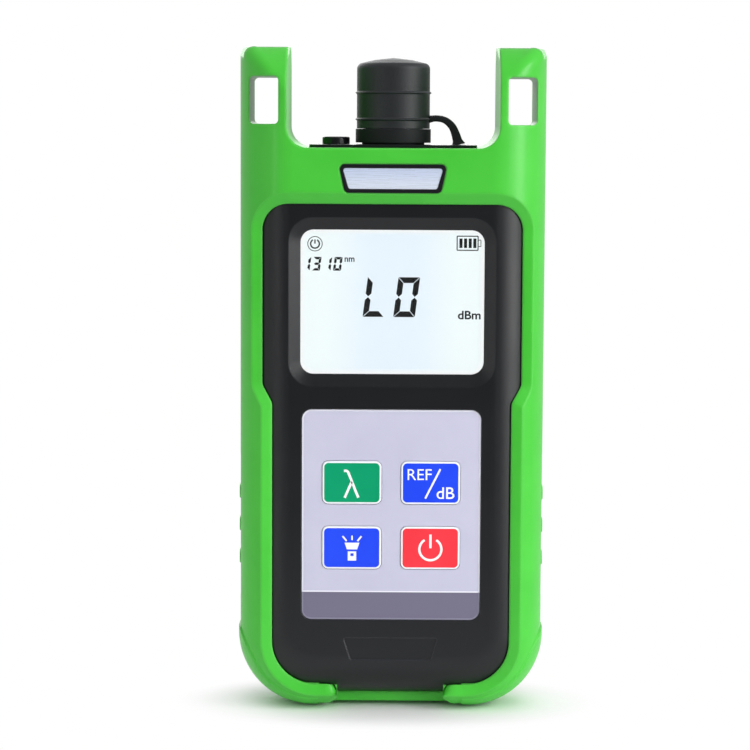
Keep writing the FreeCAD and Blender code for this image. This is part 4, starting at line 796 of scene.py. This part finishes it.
# %% Helper: printed words
def words(name, text, left, right, low, high, face_y, boldness=0.0, thick=INK):
    """Letters as a thin plate that fills the box left..right, low..high."""
    curve = bpy.data.curves.new(name, "FONT")
    curve.body = text
    curve.resolution_u = 6
    curve.offset = boldness
    curve.extrude = 0.5
    letters = bpy.data.objects.new(name, curve)
    bpy.context.scene.collection.objects.link(letters)
    bpy.context.view_layer.update()
    mesh = bpy.data.meshes.new_from_object(letters)
    bpy.data.objects.remove(letters)
    points = np.empty(len(mesh.vertices) * 3)
    mesh.vertices.foreach_get("co", points)
    points = points.reshape(-1, 3)
    lowest, highest = points.min(0), points.max(0)
    share = (points - lowest) / (highest - lowest)
    placed = np.column_stack([left + share[:, 0] * (right - left),
                              face_y - share[:, 2] * thick,
                              low + share[:, 1] * (high - low)]) * MM
    mesh.vertices.foreach_set("co", placed.ravel())
    mesh.update()
    return place_mesh(name, mesh)


finish_piece(words("display_unit_power", "dBm", 17.3, 23.3, 105.3, 107.55, CELL_FACE, 0.022),
             "cell_ink", "root")
unit = finish_piece(words("display_unit_wavelength", "nm", -12.6, -10.0, 120.3, 121.45,
                          CELL_FACE, 0.02), "cell_ink", "root")
print("two letters make", len(unit.data.vertices), "points")


# %% [markdown]
# ## Bent strokes
# A drawn sign has bent strokes.  A few listed points give the middle line, a
# cubic makes it smooth, and the outline follows it on both sides.

# %% Helpers: drawn strokes
def stroke(points, width):
    """A bent stroke as one outline: the line's points moved to both sides by half the width."""
    line = np.asarray(points, float)
    along = np.gradient(line, axis=0)
    along /= np.linalg.norm(along, axis=1)[:, None]
    side = np.column_stack([-along[:, 1], along[:, 0]]) * width / 2
    return np.vstack([line - side, (line + side)[::-1]])


def eased(points, steps=8):
    """A smooth line through points, made of one cubic for each span.

    The slope at a point is half the step between the points before and after it.
    """
    p = np.asarray(points, float)
    p = np.vstack([2 * p[0] - p[1], p, 2 * p[-1] - p[-2]])
    t = np.linspace(0, 1, steps, endpoint=False)[:, None]
    spans = [0.5 * (2 * b + (c - a) * t + (2 * a - 5 * b + 4 * c - d) * t ** 2
                    + (3 * b - a - 3 * c + d) * t ** 3)
             for a, b, c, d in zip(p, p[1:], p[2:], p[3:])]
    return np.vstack(spans + [p[-2:-1]])


def print_on_key(piece, body):
    """Give a mark white ink and let it ride on a key."""
    return finish_piece(piece, "white_ink", body)


print("a smooth line through 3 points has", len(eased([(0, 0), (1, 1), (2, 0)])), "points")


# %% [markdown]
# ## Symbols on the upper keys
# One upper key has the wavelength sign, a long bent leg and a short straight one.  The
# other has the words for reference and decibel with a slash between.  Each mark rides
# on its key, so it sinks with it when the key is pressed.

# %% Symbols on the upper keys
KEY_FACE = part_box("key_wavelength")[0].y / MM
LAMBDA_WIDTH = 0.66

long_leg = [(-12.5, 65.2), (-12.0, 65.28), (-11.45, 64.95), (-11.0, 63.9), (-8.7, 58.1)]
short_leg = bar((-10.45, 62.3), (-12.3, 58.05), LAMBDA_WIDTH)
print_on_key(plate("wavelength_symbol", [stroke(eased(long_leg), LAMBDA_WIDTH), short_leg],
                   KEY_FACE), "wavelength_key")
print_on_key(words("reference_word", "REF", 4.3, 10.65, 62.9, 65.8, KEY_FACE),
             "reference_key")
print_on_key(words("decibel_word", "dB", 12.0, 16.7, 57.9, 61.0, KEY_FACE, 0.006),
             "reference_key")
print_on_key(plate("reference_slash", [bar((9.0, 57.98), (12.95, 65.85), 0.5)], KEY_FACE),
             "reference_key")
print("the keys' faces stand at", round(KEY_FACE, 2), "mm")


# %% [markdown]
# ## Symbols on the lower keys
# The light key has a torch: a flared head, a grip with a switch in it and three rays,
# drawn about an upright middle line and then moved sideways onto the key.  The power key
# has the standby sign again, larger and with a longer stroke.

# %% Symbols on the lower keys
TORCH_X = -10.3
GRIP_TOP, GRIP_FOOT, GRIP_HALF, GRIP_INNER = 43.72, 41.25, 1.12, 0.42
SWITCH_TOP, SWITCH_FOOT = 43.2, 42.45


def boxed(left, right, low, high):
    """The outline of an upright box."""
    return np.array([(left, low), (right, low), (right, high), (left, high)])


head = np.array([(-1.97, 46.05), (1.97, 46.05), (1.35, 44.25), (-1.35, 44.25)])
grip = [boxed(-GRIP_HALF, -GRIP_INNER, GRIP_FOOT, GRIP_TOP),
        boxed(GRIP_INNER, GRIP_HALF, GRIP_FOOT, GRIP_TOP),
        boxed(-GRIP_INNER, GRIP_INNER, SWITCH_TOP, GRIP_TOP),
        boxed(-GRIP_INNER, GRIP_INNER, GRIP_FOOT, SWITCH_FOOT)]
rays = [bar((0, 46.75), (0, 47.95), 0.4), bar((-1.45, 46.5), (-2.5, 47.8), 0.45),
        bar((1.45, 46.5), (2.5, 47.8), 0.45)]
torch = [part + (TORCH_X, 0) for part in [head] + grip + rays]
print_on_key(plate("torch_symbol", torch, KEY_FACE), "backlight_key")

POWER = (10.45, 44.38)
POWER_STROKE = 0.62
power_mark = arc_band(POWER, 2.92, POWER_STROKE, 122, 418)
power_mark.append(bar((POWER[0], POWER[1] + 0.3), (POWER[0], POWER[1] + 3.95), POWER_STROKE))
print_on_key(plate("power_symbol", power_mark, KEY_FACE), "power_key")
print("the torch is drawn with", len(torch), "outlines")


# %% [markdown]
# ## The strap that keeps the cap
# The strap is one rubber moulding: a flat tongue leaves the cap's lower bead, bends over
# and swells into a plug that is pushed into the top plate.  It is a section carried
# along a smooth line, and the section's width and thickness change on the way.

# %% Cap strap
STRAP_LINE = [(9.6, 157.75), (11.6, 157.95), (13.8, 157.45), (15.6, 155.9), (16.55, 153.9),
              (17.15, 151.9), (17.35, 151.02)]
# Thickness and width are told at shares of the strap's length.
STRAP_THICK = ([0, 0.08, 0.3, 0.62, 0.8, 0.94, 1.0], [2.0, 1.7, 1.75, 2.15, 2.5, 3.6, 3.7])
STRAP_WIDE = ([0, 0.3, 0.8, 1.0], [3.6, 3.4, 3.6, 3.9])


def carried(name, line, thick, wide, roundness=0.35, sides=32):
    """A closed section carried along a line in X, Z.

    The section is a rounded box: the cosine and the sine of the angle, each raised to the
    power of roundness with its sign kept, times half the thickness and half the width.
    """
    angle = np.linspace(0, 2 * math.pi, sides, endpoint=False)
    cosine, sine = np.cos(angle), np.sin(angle)
    box_x = np.sign(cosine) * np.abs(cosine) ** roundness
    box_y = np.sign(sine) * np.abs(sine) ** roundness
    along = np.gradient(line, axis=0)
    along /= np.linalg.norm(along, axis=1)[:, None]
    side = np.column_stack([-along[:, 1], along[:, 0]])
    flat = line[:, None, :] + side[:, None, :] * (thick[:, None] / 2 * box_x)[:, :, None]
    depth = wide[:, None] / 2 * box_y
    grid = np.stack([flat[:, :, 0], depth, flat[:, :, 1]], axis=2)
    rows, columns = grid.shape[:2]
    index = np.arange(rows * columns).reshape(rows, columns)
    following = np.roll(index, -1, axis=1)
    quads = np.stack([index[:-1], index[1:], following[1:], following[:-1]], axis=2)
    faces = quads.reshape(-1, 4).tolist() + [index[0].tolist(), index[-1][::-1].tolist()]
    mesh = bpy.data.meshes.new(name)
    mesh.from_pydata((grid.reshape(-1, 3) * MM).tolist(), [], faces)
    mesh.shade_smooth()
    return place_mesh(name, mesh)


strap_line = eased(STRAP_LINE, 10)
strap_share = np.linspace(0, 1, len(strap_line))
strap = carried("cap_strap", strap_line, np.interp(strap_share, *STRAP_THICK),
                np.interp(strap_share, *STRAP_WIDE))
strap.data.materials.append(finishes["cap_rubber"])
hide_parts("cap_tether")
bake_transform(strap)
strap_length = np.linalg.norm(np.diff(strap_line, axis=0), axis=1).sum()
print("the strap is", round(float(strap_length), 1), "mm long")
strap_low, strap_high = (np.array(corner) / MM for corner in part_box("cap_tether"))
print("the plain tether in its place measures", (strap_high - strap_low).round(1), "mm")


# %% [markdown]
# ## Floor
# The floor is white paper and catches the meter's own soft shadow.  Away from the meter
# it fades into plain white, as a sweep of paper does.  More light would bleach the meter
# too, so the far floor shines by itself, and only for the camera, mirror images and
# clear pieces.

# %% Floor
FLOOR_HALF = 0.2
FADE_START, FADE_END = 0.026, 0.060
FADE_STRETCH = (1.0, 1.8, 1.0)

floor_mesh = bpy.data.meshes.new("floor")
floor_mesh.from_pydata([(-FLOOR_HALF, -FLOOR_HALF, 0), (FLOOR_HALF, -FLOOR_HALF, 0),
                        (FLOOR_HALF, FLOOR_HALF, 0), (-FLOOR_HALF, FLOOR_HALF, 0)],
                       [], [(0, 1, 2, 3)])
floor = place_mesh("floor", floor_mesh)


def highest(tree, *sockets):
    """The largest of several numbers."""
    result = sockets[0]
    for socket in sockets[1:]:
        result = math_node(tree, "MAXIMUM", result, socket)
    return result


paper, tree, shader = new_material("paper_floor")
shader.inputs["Base Color"].default_value = tone(246, 246, 246)
shader.inputs["Roughness"].default_value = 0.9
shader.inputs["Specular IOR Level"].default_value = 0.1
spot = add(tree, "ShaderNodeMapping", {0: object_place(tree)})
spot.inputs["Scale"].default_value = FADE_STRETCH
away = add(tree, "ShaderNodeVectorMath", {0: spot.outputs[0]}, operation="LENGTH")
far_share = smooth_step(tree, away.outputs["Value"], FADE_START, FADE_END)
seen = add(tree, "ShaderNodeLightPath").outputs
direct = highest(tree, seen["Is Camera Ray"], seen["Is Glossy Ray"],
                 seen["Is Transmission Ray"])
plain_white = add(tree, "ShaderNodeEmission", {"Color": WHITE})
paper_mix = add(tree, "ShaderNodeMixShader",
                {0: math_node(tree, "MULTIPLY", direct, far_share),
                 1: shader.outputs[0], 2: plain_white.outputs[0]})
tree.links.new(paper_mix.outputs[0], tree.nodes["Material Output"].inputs["Surface"])
floor_mesh.materials.append(paper)
print("the floor is", FLOOR_HALF * 2, "m wide")


# %% [markdown]
# ## Surroundings
# The world is a weak even light from all sides.  The camera and the clear window see
# plain white in it.  Glossy faces see it white at the back and the sides and grey in
# front, as in a studio, where the room behind the camera is dark.

# %% Surroundings
ROOM_LEVEL = 0.19
FRONT_GREY = 0.16
GREY_UNTIL, WHITE_FROM = -0.95, -0.1

world = bpy.data.worlds.new("surroundings")
world.use_nodes = True
bpy.context.scene.world = world
tree = world.node_tree
room = tree.nodes["Background"]
room.inputs["Color"].default_value = WHITE
room.inputs["Strength"].default_value = ROOM_LEVEL
towards = add(tree, "ShaderNodeSeparateXYZ",
              {0: add(tree, "ShaderNodeTexCoord").outputs["Generated"]})
mirrored = math_node(tree, "MULTIPLY_ADD",
                     smooth_step(tree, towards.outputs["Y"], GREY_UNTIL, WHITE_FROM),
                     1.0 - FRONT_GREY, FRONT_GREY)
seen = add(tree, "ShaderNodeLightPath").outputs
reflected = add(tree, "ShaderNodeBackground", {"Strength": mirrored})
white = add(tree, "ShaderNodeBackground", {"Color": WHITE, "Strength": 1.0})
gloss_mix = add(tree, "ShaderNodeMixShader",
                {0: seen["Is Glossy Ray"], 1: room.outputs[0], 2: reflected.outputs[0]})
final = add(tree, "ShaderNodeMixShader",
            {0: highest(tree, seen["Is Camera Ray"], seen["Is Transmission Ray"]),
             1: gloss_mix.outputs[0], 2: white.outputs[0]})
tree.links.new(final.outputs[0], tree.nodes["World Output"].inputs["Surface"])
print("the room lights the meter at", ROOM_LEVEL, "of white")


# %% [markdown]
# ## Lamps
# Large soft lamps stand round the meter, the strongest on the right, and two narrow
# upright ones give the rounded edges a sheen.  Three of the large ones only light the
# meter: their mirror image would lie as a pale patch on the black case.

# %% Lamps
def soft_lamp(name, place, aim, size, watts, mirrored=True):
    """An area lamp at a place, turned towards a point; its mirror image can be left out."""
    data = bpy.data.lights.new(name, "AREA")
    data.shape = "RECTANGLE"
    data.size, data.size_y = size
    data.energy = watts
    lamp = bpy.data.objects.new(name, data)
    way = Vector(aim) - Vector(place)
    lamp.location = place
    lamp.rotation_euler = way.to_track_quat("-Z", "Y").to_euler()
    lamp.visible_glossy = mirrored
    bpy.context.scene.collection.objects.link(lamp)
    return lamp


MIDDLE = (0.0, 0.0, 0.09)
soft_lamp("lamp_right", (0.80, -0.42, 0.35), MIDDLE, (0.35, 0.8), 7.0)
soft_lamp("lamp_left", (-0.8, -0.30, 0.20), MIDDLE, (0.4, 0.8), 0.9, mirrored=False)
soft_lamp("lamp_top", (0.1, -0.15, 0.95), MIDDLE, (0.8, 0.6), 1.8, mirrored=False)
soft_lamp("lamp_front", (0.15, -0.95, 0.95), MIDDLE, (0.8, 0.8), 4.1, mirrored=False)
soft_lamp("lamp_back", (-0.3, 1.0, 0.55), MIDDLE, (0.9, 0.6), 4.5)
for side in (-1, 1):
    soft_lamp("strip_lamp", (0.75 * side, -0.80, 0.16), MIDDLE, (0.10, 0.9), 1.4)
print(len(bpy.data.lights), "lamps")
